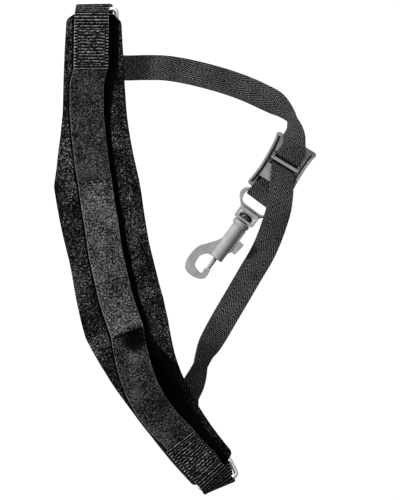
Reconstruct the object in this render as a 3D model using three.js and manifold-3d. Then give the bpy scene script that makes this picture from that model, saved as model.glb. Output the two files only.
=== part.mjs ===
// Saxophone neck strap: a padded neck piece with a loose control band, a herringbone tape,
// a ladder-lock slider and a swivel bolt snap, laid flat on a table.
// Millimetres, +Z up. The table is z = 0, +Y runs along the strap towards its upper pad end,
// and the origin is under the middle of the strap's bounding box.
import * as THREE from 'three';
import { mergeVertices } from 'three/addons/utils/BufferGeometryUtils.js';
import Module from 'manifold-3d';

const wasm = await Module();
wasm.setup();

// ---------------------------------------------------------------- driving dimensions
const GAP = 0.3; // clear gap between neighbouring solids
const WEB_WIDTH = 25.4; // 1 inch webbing of the two end tabs and the control band
const WEB_THICK = 1.6;
const TAPE_WIDTH = 19; // 3/4 inch herringbone tape
const TAPE_THICK = 1.3;

const LINING = 0.9; // pad layers, from the neck side outwards
const CORE = 4.5;
const FACE = 0.9;
const PAD_THICK = LINING + CORE + FACE + 2 * GAP;
const PAD_STEP = 7; // length of one pad facet
const BAND_THICK = 1.2;
const PANEL_THICK = 0.8;

const RING_WIRE = 1.7; // radius of the ring wire
const RING_HALF = 14.95; // wire centre to wire centre is twice this, across the webbing
const RING_REACH = 13.5; // between the two bars, seen from above
const RING_RISE = 2.9; // the tab's bar is this much higher than the tape's bar
const RING_CORNER = 2.7;
const TAPE_BAR_Z = RING_WIRE + GAP + TAPE_THICK + 0.05;
const TAB_BAR_Z = TAPE_BAR_Z + RING_RISE;
const PAD_REST_HIGH = 8.9; // underside of the pad above the table where the ring is under it

const HOOK_Z = 6.9; // height of the hook's axis

// ---------------------------------------------------------------- small helpers
const V = (x, y, z) => new THREE.Vector3(x, y, z);
const rad = (degrees) => (degrees * Math.PI) / 180;
const clamp01 = (x) => Math.min(1, Math.max(0, x));
const smooth = (x) => clamp01(x) ** 2 * (3 - 2 * clamp01(x));

// value at x on straight lines through a list of [x, value]
function along(list, x) {
  let i = 1;
  while (i < list.length - 1 && x > list[i][0]) i += 1;
  const [x0, y0] = list[i - 1];
  const [x1, y1] = list[i];
  return y0 + (y1 - y0) * clamp01((x - x0) / (x1 - x0));
}

const materials = {
  loopFabric: { color: 0x151515, roughness: 0.98, metalness: 0 },
  foam: { color: 0x101010, roughness: 0.95, metalness: 0 },
  lining: { color: 0x1a1a1a, roughness: 0.9, metalness: 0 },
  band: { color: 0x38393c, roughness: 0.95, metalness: 0 },
  webbing: { color: 0x161616, roughness: 0.85, metalness: 0 },
  thread: { color: 0x0c0c0c, roughness: 0.7, metalness: 0 },
  tape: { color: 0x2a2a2c, roughness: 0.9, metalness: 0 },
  nickel: { color: 0xc8c8c8, roughness: 0.3, metalness: 1 },
  greyPlastic: { color: 0x8f8f90, roughness: 0.5, metalness: 0 },
  darkPin: { color: 0x77797c, roughness: 0.4, metalness: 0.8 },
};

const strap = new THREE.Group();

function addPart(name, geometry, kind, parent = strap) {
  const mesh = new THREE.Mesh(geometry, new THREE.MeshStandardMaterial(materials[kind]));
  mesh.name = name;
  parent.add(mesh);
  return mesh;
}

function signedVolume(geometry) {
  const p = geometry.getAttribute('position');
  const index = geometry.getIndex();
  const [a, b, c] = [V(0, 0, 0), V(0, 0, 0), V(0, 0, 0)];
  let sum = 0;
  for (let i = 0; i < index.count; i += 3) {
    a.fromBufferAttribute(p, index.getX(i));
    b.fromBufferAttribute(p, index.getX(i + 1));
    c.fromBufferAttribute(p, index.getX(i + 2));
    sum += a.dot(b.cross(c)) / 6;
  }
  return sum;
}

// a closed body through cross sections that each have the same number of corners; the second half
// of a section takes the other diagonal, so that two parallel strips are cut the same way
function loft(sections, closed = false) {
  const corners = sections[0].length;
  const count = sections.length;
  const index = [];
  for (let i = 0; i < (closed ? count : count - 1); i += 1) {
    const here = i * corners;
    const next = ((i + 1) % count) * corners;
    for (let j = 0; j < corners; j += 1) {
      const k = (j + 1) % corners;
      if (j < corners / 2) index.push(here + j, here + k, next + k, here + j, next + k, next + j);
      else index.push(here + j, here + k, next + j, here + k, next + k, next + j);
    }
  }
  if (!closed) {
    const last = (count - 1) * corners;
    for (let j = 1; j < corners - 1; j += 1) {
      index.push(0, j + 1, j, last, last + j, last + j + 1);
    }
  }
  const geometry = new THREE.BufferGeometry().setFromPoints(sections.flat());
  geometry.setIndex(index);
  if (signedVolume(geometry) < 0) geometry.setIndex(index.reverse());
  return geometry;
}

// a flat strip: each frame gives its middle, the unit vector across and the unit normal
function ribbon(frames, width, thick) {
  return loft(frames.map(({ middle, across, normal }) => {
    const side = across.clone().multiplyScalar(width / 2);
    const up = normal.clone().multiplyScalar(thick / 2);
    return [
      middle.clone().sub(side).sub(up),
      middle.clone().add(side).sub(up),
      middle.clone().add(side).add(up),
      middle.clone().sub(side).add(up),
    ];
  }));
}

function toSolid(geometry) {
  const bare = geometry.index ? geometry.clone() : geometry;
  bare.deleteAttribute('normal');
  bare.deleteAttribute('uv');
  const merged = mergeVertices(bare, 1e-4);
  return new wasm.Manifold(new wasm.Mesh({
    numProp: 3,
    vertProperties: new Float32Array(merged.getAttribute('position').array),
    triVerts: new Uint32Array(merged.getIndex().array),
  }));
}

function toGeometry(solid) {
  const mesh = solid.getMesh();
  const geometry = new THREE.BufferGeometry();
  geometry.setAttribute('position', new THREE.BufferAttribute(new Float32Array(mesh.vertProperties), 3));
  geometry.setIndex(new THREE.BufferAttribute(new Uint32Array(mesh.triVerts), 1));
  return geometry;
}

function boxBetween(low, high) {
  const size = V(...high).sub(V(...low));
  const middle = V(...low).add(V(...high)).multiplyScalar(0.5);
  return new THREE.BoxGeometry(size.x, size.y, size.z).translate(middle.x, middle.y, middle.z);
}

// ---------------------------------------------------------------- pad
// The pad is a long crescent. A place on it is (s, v, h): s along its centre line from the upper
// end, v across it to the right, h above its underside.
const padLine = new THREE.CatmullRomCurve3([
  V(-67.6, 173.7, 0), V(-67.6, 150, 0), V(-67.5, 120, 0), V(-67.0, 88, 0), V(-65.7, 56, 0),
  V(-61.4, 22, 0), V(-54.6, -11, 0), V(-46.6, -44, 0), V(-35.2, -76, 0), V(-18.6, -110, 0),
  V(2.6, -142.2, 0), V(22.2, -165.5, 0),
]);
padLine.arcLengthDivisions = 800;
const PAD_LENGTH = padLine.getLength();
const OUTER_CORNER_A = 124.6; // the outer edge is three straight runs that meet at two corners
const OUTER_CORNER_B = 232.5;

const outerHalfWidth = [
  [0, 15], [3.2, 19.4], [5.5, 20.4], [27, 21.6], [48, 22.6], [72, 23.8], [90, 26.1], [113, 29.9],
  [OUTER_CORNER_A, 32.8], [178, 30.6], [OUTER_CORNER_B, 32.8], [259, 28.3], [293, 23.4], [313, 21.8],
  [339, 20.6], [PAD_LENGTH - 3.5, 20], [PAD_LENGTH - 1.5, 18.4], [PAD_LENGTH, 15.2],
];
const innerHalfWidth = [
  [0, 14.8], [5, 20.1], [7, 20.6], [27, 21.7], [48, 22.6], [72, 23.8], [84, 25], [97, 26.9],
  [113, 29.4], [126, 31], [138, 31.6], [158, 31.3], [178, 30.6], [200, 31.1], [222, 31.4],
  [240, 29.7], [254, 27.2], [268, 24.5], [284, 22.3], [307, 20], [339, 18.8],
  [PAD_LENGTH - 3.5, 18], [PAD_LENGTH - 1.5, 16.8], [PAD_LENGTH, 13.5],
];

const END_TILT = rad(18); // the lower end lies rolled over, its right side low
const END_HIGH = 13.2; // pad underside above the table at the lower end

const padHeight = (s) => (s < 150
  ? PAD_REST_HIGH * smooth((82 - s) / 50)
  : END_HIGH * smooth((s - 188) / 75));
const padTilt = (s) => END_TILT * smooth((s - 262) / 68);

function padFrame(s) {
  const inside = Math.min(Math.max(s, 0), PAD_LENGTH);
  const u = inside / PAD_LENGTH;
  const travel = padLine.getTangentAt(u).normalize();
  const middle = padLine.getPointAt(u).addScaledVector(travel, s - inside);
  middle.z = padHeight(s);
  const tilt = padTilt(s);
  const flat = V(-travel.y, travel.x, 0);
  const across = flat.clone().multiplyScalar(Math.cos(tilt)).setZ(-Math.sin(tilt));
  const normal = flat.clone().multiplyScalar(Math.sin(tilt)).setZ(Math.cos(tilt));
  return { middle, travel, across, normal };
}

function padPoint(s, v, h) {
  const { middle, across, normal } = padFrame(s);
  return middle.addScaledVector(across, v).addScaledVector(normal, h);
}

const PAD_END_STATIONS = [0, 1.5, 3.5];
const ROLL_START = 255; // beyond here the pad rolls over, so its facets are half as long

// places along the pad where it and what lies on it get a cross section
function padStations(from = 0, to = PAD_LENGTH) {
  const ends = PAD_END_STATIONS.map((s) => PAD_LENGTH - s);
  const stations = [...PAD_END_STATIONS, ...ends, OUTER_CORNER_A, OUTER_CORNER_B];
  for (let s = PAD_STEP; s < PAD_LENGTH - PAD_STEP / 2; s += s < ROLL_START ? PAD_STEP : PAD_STEP / 2) {
    if (Math.abs(s - OUTER_CORNER_A) > 2 && Math.abs(s - OUTER_CORNER_B) > 2) stations.push(s);
  }
  const within = stations.filter((s) => s > from + 1 && s < to - 1);
  return [from, ...within.sort((a, b) => a - b), to];
}

function padLayer(low, high) {
  return loft(padStations().map((s) => {
    const left = -along(outerHalfWidth, s);
    const right = along(innerHalfWidth, s);
    return [padPoint(s, left, low), padPoint(s, right, low), padPoint(s, right, high), padPoint(s, left, high)];
  }));
}

addPart('pad_lining', padLayer(0, LINING), 'lining');
addPart('pad_core', padLayer(LINING + GAP, LINING + GAP + CORE), 'foam');
addPart('pad_face', padLayer(PAD_THICK - FACE, PAD_THICK), 'loopFabric');

// ---------------------------------------------------------------- control band and its panel
const BAND_START = 5;
const BAND_END = PAD_LENGTH - 6;
const bandCentre = [
  [0, -1.6], [40, -2.2], [52, -5.2], [72, -5.7], [90, -4.7], [115, -2.6], [124, -1.8], [157, -1.3],
  [178, -2.7], [213, -2.5], [237, -1.6], [255, -5.2], [281, -9.2], [295, -10.4], [310, -9.4],
  [322, -7.4], [PAD_LENGTH, -5],
];
// the band lies loose on the pad and stands up off it in three low humps
const bandLift = (s) => 1.2 * smooth((s - 42) / 25) * smooth((130 - s) / 25)
  + 1.6 * smooth((s - 130) / 40) * smooth((250 - s) / 40)
  + 5.5 * smooth((s - 236) / 40) * smooth((316 - s) / 36);

function bandFrames(from, to, height) {
  return padStations(from, to).map((s) => {
    const { across, normal } = padFrame(s);
    return { middle: padPoint(s, along(bandCentre, s), height + bandLift(s)), across, normal };
  });
}

const BAND_MIDDLE = PAD_THICK + GAP + BAND_THICK / 2;
const PANEL_MIDDLE = BAND_MIDDLE + BAND_THICK / 2 + GAP + PANEL_THICK / 2;
const PANEL_START = 123;
const PANEL_END = 243;
addPart('control_band', ribbon(bandFrames(BAND_START, BAND_END, BAND_MIDDLE), WEB_WIDTH, BAND_THICK), 'band');
addPart('band_panel', ribbon(bandFrames(PANEL_START, PANEL_END, PANEL_MIDDLE), WEB_WIDTH - 0.8, PANEL_THICK), 'band');

// a row of stitches across the panel, drawn as one thread; skew is how far its right end is
// further along the pad than its left end
function seam(s, skew) {
  const half = WEB_WIDTH / 2 - 1.4;
  const steps = 12;
  return ribbon(Array.from({ length: steps + 1 }, (_, i) => {
    const v = half * (2 * (i / steps) - 1);
    const at = s + (skew / 2) * (v / half);
    const { travel, normal } = padFrame(at);
    const height = PANEL_MIDDLE + PANEL_THICK / 2 + GAP + 0.25 + bandLift(at);
    return { middle: padPoint(at, along(bandCentre, at) + v, height), across: travel, normal };
  }), 0.6, 0.4);
}
addPart('band_seam_upper', seam(PANEL_START + 3, -1), 'thread');
addPart('band_seam_lower', seam(PANEL_END - 4.5, 6), 'thread');

// ---------------------------------------------------------------- rings and tabs at the pad ends
// Each ring lies folded back under the pad end, parallel to it. Its own frame has its origin
// under the ring's outer bar, x across the webbing (to the right when looking outwards), y
// outwards along the strap and z from the table side to the pad.
const ENDS = {
  upper: {
    side: 1, // the pad's right is the frame's right
    barOut: 4.6, // the outer bar is this far outwards from the pad end
    barRight: 1.5, // and this far to the pad's right of its centre line
    yaw: 1,
    padAt: (t) => -t,
    tabCentre: [[-4, -1.2], [40, -1.8]],
    tabInner: 40.6,
    rise: [[2.4, 5.7], [0.4, 8.2]],
  },
  lower: {
    side: -1,
    barOut: 9.2,
    barRight: -2.2,
    yaw: -18,
    padAt: (t) => PAD_LENGTH + t,
    tabCentre: [[-8, -6.4], [36, -9]],
    tabInner: 33,
    rise: [[7.6, 4.6], [3.2, 8.2]],
  },
};

function endMatrix(end) {
  const { travel, across, normal } = padFrame(end.padAt(0));
  const outwards = travel.multiplyScalar(-end.side);
  const place = new THREE.Matrix4().makeBasis(across.multiplyScalar(end.side), outwards, normal);
  place.setPosition(padPoint(end.padAt(end.barOut), end.barRight, -PAD_REST_HIGH));
  return place.multiply(new THREE.Matrix4().makeRotationZ(rad(end.yaw)));
}

// frames of a strip that runs in its end's y-z plane, from points [x, y, z] of its middle line
function endFrames(end, points) {
  const matrix = endMatrix(end);
  const spots = points.map(([x, y, z]) => V(x, y, z));
  return spots.map((spot, i) => {
    const before = spots[Math.max(i - 1, 0)];
    const after = spots[Math.min(i + 1, spots.length - 1)];
    const run = after.clone().sub(before).setX(0).normalize();
    return {
      middle: spot.clone().applyMatrix4(matrix),
      across: V(1, 0, 0).transformDirection(matrix),
      normal: V(0, run.z, -run.y).transformDirection(matrix),
    };
  });
}

function ringGeometry() {
  const steps = 4;
  const sides = 10;
  const halfX = RING_HALF - RING_CORNER;
  const middleY = -RING_REACH / 2;
  const halfY = RING_REACH / 2 - RING_CORNER;
  const slope = RING_RISE / RING_REACH;
  const sections = [];
  for (let corner = 0; corner < 4; corner += 1) {
    const sx = corner === 0 || corner === 3 ? 1 : -1;
    const sy = corner < 2 ? 1 : -1;
    for (let i = 0; i <= steps; i += 1) {
      const angle = (corner + i / steps) * (Math.PI / 2);
      const out = V(Math.cos(angle), Math.sin(angle), 0);
      const centre = V(sx * halfX, middleY + sy * halfY, 0).addScaledVector(out, RING_CORNER);
      centre.z = TAB_BAR_Z + slope * centre.y;
      out.z = slope * out.y;
      out.normalize();
      const up = V(0, -slope, 1).normalize();
      const section = [];
      for (let j = 0; j < sides; j += 1) {
        const turn = (j / sides) * 2 * Math.PI;
        section.push(centre.clone()
          .addScaledVector(out, RING_WIRE * Math.cos(turn))
          .addScaledVector(up, RING_WIRE * Math.sin(turn)));
      }
      sections.push(section);
    }
  }
  return loft(sections, true);
}

// the end of the tape sewn round the ring's inner bar: a closed eye and a doubled tail
const LOOP_TAIL = 10;
function tapeLoopGeometry() {
  const inner = RING_WIRE + GAP;
  const outer = inner + TAPE_THICK;
  const centre = -RING_REACH;
  const shape = new THREE.Shape();
  const low = TAPE_BAR_Z - outer;
  const tail = centre - outer - LOOP_TAIL;
  shape.moveTo(tail, low);
  shape.lineTo(centre, low);
  shape.absarc(centre, TAPE_BAR_Z, outer, -Math.PI / 2, rad(120), false);
  shape.lineTo(centre - 7.2, low + 2 * TAPE_THICK);
  shape.lineTo(tail, low + 2 * TAPE_THICK);
  shape.closePath();
  const hole = new THREE.Path();
  hole.absarc(centre, TAPE_BAR_Z, inner, rad(120), -Math.PI / 2, true);
  hole.lineTo(centre - 5.4, low + TAPE_THICK);
  hole.closePath();
  shape.holes.push(hole);
  const geometry = new THREE.ExtrudeGeometry(shape, { depth: TAPE_WIDTH, bevelEnabled: false, curveSegments: 10 });
  // the drawing plane (x, y) is the end frame's (y, z)
  const toFrame = new THREE.Matrix4().makeBasis(V(0, 1, 0), V(0, 0, 1), V(1, 0, 0));
  toFrame.setPosition(-TAPE_WIDTH / 2, 0, 0);
  return geometry.applyMatrix4(toFrame);
}

// the bar tack that closes the tape's eye
function tackGeometry() {
  const top = TAPE_BAR_Z - RING_WIRE - GAP + TAPE_THICK + GAP;
  const y = -RING_REACH - RING_WIRE - GAP - TAPE_THICK - 5.5;
  return boxBetween([-TAPE_WIDTH / 2 + 2, y - 1, top], [TAPE_WIDTH / 2 - 2, y + 1, top + 0.4]);
}

const TAB_TOP = PAD_THICK + GAP + BAND_THICK + GAP + WEB_THICK / 2; // middle of the tab's upper layer
const TAB_LOWER = 22; // inner end of the layer under the pad, measured from the ring's bar

// the webbing goes out under the pad, through the ring, round its outer bar and back over the
// pad; its upper layer lies a little to the pad's left of the ring
function tabGeometry(end) {
  const r = RING_WIRE + GAP + WEB_THICK / 2 + 0.1;
  const left = -end.side;
  const under = PAD_REST_HIGH - GAP - 0.2 - WEB_THICK / 2;
  const round = (degrees) => [0.2 * left, r * Math.cos(rad(degrees)), TAB_BAR_Z + r * Math.sin(rad(degrees))];
  const wrap = endFrames(end, [
    [0.2 * left, -TAB_LOWER, under], [0.2 * left, -13, under], [0.2 * left, -6.6, under],
    [0.2 * left, -5, under - 0.5], [0.2 * left, -3.5, under - 1.9],
    round(215), round(240), round(270), round(305), round(335),
    [0.9 * left, r, TAB_BAR_Z], [1.9 * left, r + 0.25, TAB_BAR_Z + 2.6],
  ]);
  const places = [...end.rise, [-2.6, TAB_TOP]];
  for (let t = -7; t > 3 - end.tabInner; t -= 6) places.push([t, TAB_TOP]);
  places.push([-end.tabInner, TAB_TOP]);
  const lean = [50, 42, 12]; // how far the webbing's outer side still faces outwards
  const upper = places.map(([t, h], i) => {
    const s = end.padAt(t);
    const { across, travel, normal } = padFrame(s);
    const tip = rad(lean[i] ?? 0);
    normal.multiplyScalar(Math.cos(tip)).addScaledVector(travel, -end.side * Math.sin(tip));
    return { middle: padPoint(s, along(end.tabCentre, -t), h), across: across.multiplyScalar(end.side), normal };
  });
  return ribbon([...wrap, ...upper], WEB_WIDTH, WEB_THICK);
}

// a tab's stitching, a box with a cross in it, drawn as one thread that lies on the tab
const STITCH_INSET = 2.6; // from the tab's edges
const STITCH_NEAR = 7; // from the pad end
function stitchGeometry(end) {
  const half = WEB_WIDTH / 2 - STITCH_INSET;
  const far = end.tabInner - STITCH_INSET;
  const frameAt = (t, v) => {
    const s = end.padAt(-t);
    const { travel, normal } = padFrame(s);
    const middle = padPoint(s, along(end.tabCentre, t) + v, TAB_TOP + WEB_THICK / 2 + GAP + 0.3);
    return { middle, travel, normal };
  };
  const thread = ([t0, v0], [t1, v1], width, thick) => {
    const steps = 6;
    const spots = Array.from({ length: steps + 1 }, (_, i) => (
      frameAt(t0 + (t1 - t0) * (i / steps), v0 + (v1 - v0) * (i / steps))));
    const run = spots[steps].middle.clone().sub(spots[0].middle).normalize();
    return toSolid(ribbon(spots.map(({ middle, normal }) => (
      { middle, across: normal.clone().cross(run).normalize(), normal })), width, thick));
  };
  const past = 0.5; // the end rows run this far past the side rows
  const sides = [-half, half].map((v) => thread([STITCH_NEAR, v], [far, v], 0.7, 0.4));
  const ends = [STITCH_NEAR, far].map((t) => thread([t, -half - past], [t, half + past], 0.8, 0.5));
  const cross = [-half, half].map((v) => thread([STITCH_NEAR, v], [far, -v], 0.6, 0.3));
  return toGeometry([...sides, ...ends, ...cross].reduce((all, one) => all.add(one)));
}

for (const [name, end] of Object.entries(ENDS)) {
  const frame = new THREE.Group();
  endMatrix(end).decompose(frame.position, frame.quaternion, frame.scale);
  strap.add(frame);
  addPart(`${name}_ring`, ringGeometry(), 'nickel', frame);
  addPart(`${name}_tape_loop`, tapeLoopGeometry(), 'tape', frame);
  addPart(`${name}_loop_tack`, tackGeometry(), 'thread', frame);
  addPart(`${name}_tab`, tabGeometry(end), 'webbing');
  addPart(`${name}_tab_stitching`, stitchGeometry(end), 'thread');
}

// ---------------------------------------------------------------- slider
// A ladder-lock slider: a plate with two slots either side of a centre bar, a larger opening, an
// end bar, and a raised rail down each side. Its frame has x across it and y towards the neck.
const SLIDER_AT = [74.7, 62.9];
const SLIDER_TURN = -31; // degrees from the table's X to the slider's x
const SLIDER_TOP = 18.8;
const SLIDER_END = -26.5;
const PLATE_LOW = 4.5;
const PLATE_HIGH = 6.3;
const RAIL_LOW = 0.3;
const RAIL_HIGH = 7.8;
const RAIL_WIDTH = 1.8;
const SLOT_HALF = 12;
const GROOVE_WIDTH = 1.3; // the groove along the foot of each rail
const GROOVE_FLOOR = 5.2;
const SLIDER_WAIST = [[SLIDER_TOP, 17.3], [8, 15.6], [-8, 15.2], [-18, 16], [SLIDER_END, 17.3]];
const SLIDER_CORNER = 3;

// the rounded side of the slider from its top to its end, inset by some distance
function sliderSide(inset) {
  const spots = SLIDER_WAIST.map(([y, x]) => new THREE.Vector2(x - inset, y));
  return new THREE.SplineCurve(spots).getPoints(10);
}

function slabBetween(shape, low, high, curveSegments = 8) {
  return new THREE.ExtrudeGeometry(shape, { depth: high - low, bevelEnabled: false, curveSegments })
    .translate(0, 0, low);
}

function plateShape() {
  const right = sliderSide(0);
  const shape = new THREE.Shape();
  const c = SLIDER_CORNER;
  const inner = right.slice(1, -1);
  shape.moveTo(0, SLIDER_TOP);
  shape.lineTo(right[0].x - c, SLIDER_TOP);
  shape.quadraticCurveTo(right[0].x, SLIDER_TOP, right[0].x - 0.2, SLIDER_TOP - c);
  inner.forEach((spot) => shape.lineTo(spot.x, spot.y));
  shape.quadraticCurveTo(right.at(-1).x, SLIDER_END, right.at(-1).x - c, SLIDER_END);
  shape.lineTo(c - right.at(-1).x, SLIDER_END);
  shape.quadraticCurveTo(-right.at(-1).x, SLIDER_END, -inner.at(-1).x, inner.at(-1).y);
  inner.slice(0, -1).reverse().forEach((spot) => shape.lineTo(-spot.x, spot.y));
  shape.lineTo(0.2 - right[0].x, SLIDER_TOP - c);
  shape.quadraticCurveTo(-right[0].x, SLIDER_TOP, c - right[0].x, SLIDER_TOP);
  shape.closePath();
  return shape;
}

// the outline, seen from above, of a strip along one side of the slider
function sideStrip(side, from, to) {
  const outer = sliderSide(from).slice(1, -1);
  const inner = sliderSide(to).slice(1, -1).reverse();
  return new THREE.Shape([...outer, ...inner].map((spot) => new THREE.Vector2(side * spot.x, spot.y)));
}

function sliderGeometry() {
  let body = toSolid(slabBetween(plateShape(), PLATE_LOW, PLATE_HIGH));
  for (const [low, high] of [[1.3, 5], [-5, -1.3], [-24, -17]]) {
    body = body.subtract(toSolid(boxBetween([-SLOT_HALF, low, PLATE_LOW - 1], [SLOT_HALF, high, PLATE_HIGH + 1])));
  }
  for (const side of [1, -1]) {
    body = body.add(toSolid(slabBetween(sideStrip(side, 0, RAIL_WIDTH), RAIL_LOW, RAIL_HIGH)));
    const groove = sideStrip(side, RAIL_WIDTH, RAIL_WIDTH + GROOVE_WIDTH);
    body = body.subtract(toSolid(slabBetween(groove, GROOVE_FLOOR, PLATE_HIGH + 1)));
  }
  return toGeometry(body);
}

const sliderFrame = new THREE.Group();
sliderFrame.position.set(SLIDER_AT[0], SLIDER_AT[1], 0);
sliderFrame.rotation.z = rad(SLIDER_TURN);
strap.add(sliderFrame);
addPart('slider', sliderGeometry(), 'greyPlastic', sliderFrame);

// ---------------------------------------------------------------- swivel bolt snap
// Its frame has its origin on the hook's axis, y towards the eye and x to the right of it.
const HOOK_AT = [34.7, 8.1];
const HOOK_TURN = -36.5;
const EYE_THICK = 3.8;
const EYE_BAR_Y = 36.8; // middle of the bar that the tape goes round
const CAGE_LOW = 14.5;
const CAGE_HIGH = 24;
const CAGE_HALF = 8.4;
const CAGE_THICK = 9;
const WALL = 2.2; // thickness of the cage's wall that the stud goes through
const STUD = 2; // radius of the swivel stud
const BARREL = 5.25;
const BARREL_END = -19.7;
const BORE = 3.5; // radius of the spring chamber
const PIN = 1.5;
const JAW_THICK = 5.6;

const hookFrame = new THREE.Group();
hookFrame.position.set(HOOK_AT[0], HOOK_AT[1], HOOK_Z);
hookFrame.rotation.z = rad(HOOK_TURN);
strap.add(hookFrame);

const P2 = (x, y) => new THREE.Vector2(x, y);

// a solid of revolution about the hook's axis; the profile is [radius, y]
const turned = (profile, sides = 24) => new THREE.LatheGeometry(profile.map(([r, y]) => P2(r, y)), sides);

function eyeGeometry() {
  const outline = new THREE.Shape();
  outline.moveTo(7, CAGE_HIGH - 1);
  outline.lineTo(8.4, CAGE_HIGH - 0.5);
  outline.splineThru([P2(11.6, 26.6), P2(14.4, 30), P2(14.9, 33), P2(13.6, 36.4), P2(10.4, 38.6)]);
  outline.lineTo(-10.4, 38.6);
  outline.splineThru([P2(-13.6, 36.4), P2(-14.9, 33), P2(-14.4, 30), P2(-11.6, 26.6), P2(-8.4, CAGE_HIGH - 0.5)]);
  outline.lineTo(-7, CAGE_HIGH - 1);
  outline.closePath();
  const opening = new THREE.Path();
  opening.moveTo(7.4, 26.4);
  opening.splineThru([P2(10.2, 28), P2(11.3, 31.2)]);
  opening.lineTo(11.3, 34.2);
  opening.lineTo(10.8, 35);
  opening.lineTo(-10.8, 35);
  opening.lineTo(-11.3, 34.2);
  opening.lineTo(-11.3, 31.2);
  opening.splineThru([P2(-10.2, 28), P2(-7.4, 26.4)]);
  opening.closePath();
  outline.holes.push(opening);
  const loop = toSolid(slabBetween(outline, -EYE_THICK / 2, EYE_THICK / 2, 4));
  const chamfer = 1.2;
  const cage = new THREE.Shape([
    P2(-CAGE_HALF, CAGE_LOW + chamfer), P2(-CAGE_HALF + chamfer, CAGE_LOW),
    P2(CAGE_HALF - chamfer, CAGE_LOW), P2(CAGE_HALF, CAGE_LOW + chamfer),
    P2(CAGE_HALF, CAGE_HIGH - chamfer), P2(CAGE_HALF - chamfer, CAGE_HIGH),
    P2(-CAGE_HALF + chamfer, CAGE_HIGH), P2(-CAGE_HALF, CAGE_HIGH - chamfer),
  ]);
  const block = toSolid(slabBetween(cage, -CAGE_THICK / 2, CAGE_THICK / 2));
  const window = toSolid(boxBetween([-6.7, CAGE_LOW + WALL, -CAGE_THICK], [6.7, 21.4, CAGE_THICK]));
  const hole = toSolid(new THREE.CylinderGeometry(STUD + GAP, STUD + GAP, 6, 20).translate(0, CAGE_LOW + 1, 0));
  return toGeometry(loop.add(block).subtract(window).subtract(hole));
}
addPart('hook_eye', eyeGeometry(), 'greyPlastic', hookFrame);

// the stud turns in the cage's wall; its foot is held in the barrel
const STUD_FOOT = 6.2;
addPart('swivel_stud', turned([
  [0, STUD_FOOT], [3.1, STUD_FOOT], [3.1, 8.6], [STUD, 8.6], [STUD, CAGE_LOW + WALL + GAP],
  [5, CAGE_LOW + WALL + GAP], [5.2, 17.5], [5.2, 18.4], [4.5, 19.6], [2.8, 20.6], [0, 20.9],
]), 'darkPin', hookFrame);

function jawShape() {
  const shape = new THREE.Shape();
  shape.moveTo(-2.9, 8);
  shape.lineTo(-4.8, 8);
  shape.splineThru([P2(-7.6, -10.6), P2(-12.4, -15), P2(-15.4, -18.8), P2(-17, -25), P2(-17, -32.4),
    P2(-15.6, -37.2), P2(-12.8, -39.7), P2(-9, -40.6), P2(-3.6, -40.2), P2(0.8, -38.1), P2(2.5, -35.2),
    P2(2.4, -31.6), P2(1.9, -28.9)].map((spot, i) => (i === 0 ? P2(-5.2, -4) : spot)));
  shape.lineTo(-1.3, -29.2);
  shape.splineThru([P2(-2.1, -31), P2(-1.9, -33.6), P2(-2.9, -35.1)]);
  shape.lineTo(-8.2, -33.8);
  shape.splineThru([P2(-10, -31.8), P2(-10.7, -26.5), P2(-9.4, -22.8), P2(-6.6, -20.1), P2(-3.4, BARREL_END + 0.1)]);
  shape.lineTo(-2.9, BARREL_END + 1);
  shape.closePath();
  return shape;
}

const RAIL_OUT = 6.5; // side rail of the thumb slide
function hookBodyGeometry() {
  const shell = toSolid(turned([
    [0, BARREL_END], [BARREL - 0.6, BARREL_END], [BARREL, BARREL_END + 0.6], [BARREL, 10],
    [6.2, 10.5], [6.7, 11.2], [6.7, 13.2], [6.2, 14], [0, 14],
  ]));
  const jaw = toSolid(slabBetween(jawShape(), -JAW_THICK / 2, JAW_THICK / 2, 3));
  const rail = toSolid(boxBetween([2, -10.4, -2.7], [RAIL_OUT, 9.6, 2.7]));
  const chamber = toSolid(turned([[0, -16.5], [BORE, -16.5], [BORE, 9], [0, 9]]));
  const pinHole = toSolid(new THREE.CylinderGeometry(PIN + GAP, PIN + GAP, 8, 20).translate(0, BARREL_END, 0));
  const studHole = toSolid(new THREE.CylinderGeometry(STUD + GAP, STUD + GAP, 8, 20).translate(0, 12, 0));
  const slot = toSolid(boxBetween([1, -9.4, -1.35], [RAIL_OUT + 3, 8.8, 1.35]));
  const solid = shell.add(jaw).add(rail).subtract(chamber).subtract(pinHole).subtract(studHole).subtract(slot);
  return toGeometry(solid);
}
addPart('hook_body', hookBodyGeometry(), 'greyPlastic', hookFrame);

// the pin that closes the jaw, with the flange that its spring pushes on
const PIN_TIP = -28.8;
const FLANGE_FRONT = -8.6;
const FLANGE_BACK = -6;
addPart('bolt_pin', turned([
  [0, PIN_TIP], [PIN - 0.4, PIN_TIP], [PIN, PIN_TIP + 0.5], [PIN, FLANGE_FRONT],
  [3.1, FLANGE_FRONT], [3.1, FLANGE_BACK], [1.2, FLANGE_BACK], [1.2, -3.6], [0, -3.6],
]), 'darkPin', hookFrame);

// the thumb knob rides along the slot and pushes the flange's front face
function knobGeometry() {
  const cap = new THREE.Shape([
    P2(RAIL_OUT + GAP, 1.6), P2(RAIL_OUT + GAP, -8.8), P2(9.4, -9.2), P2(9.9, -8.8), P2(11.2, 0.3),
    P2(10.8, 0.9),
  ]);
  const top = toSolid(slabBetween(cap, -3.2, 3.2));
  const neck = toSolid(boxBetween([3.5, FLANGE_FRONT, -1], [RAIL_OUT + 1, FLANGE_BACK, 1]));
  return toGeometry(top.add(neck));
}
addPart('thumb_knob', knobGeometry(), 'greyPlastic', hookFrame);

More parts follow.
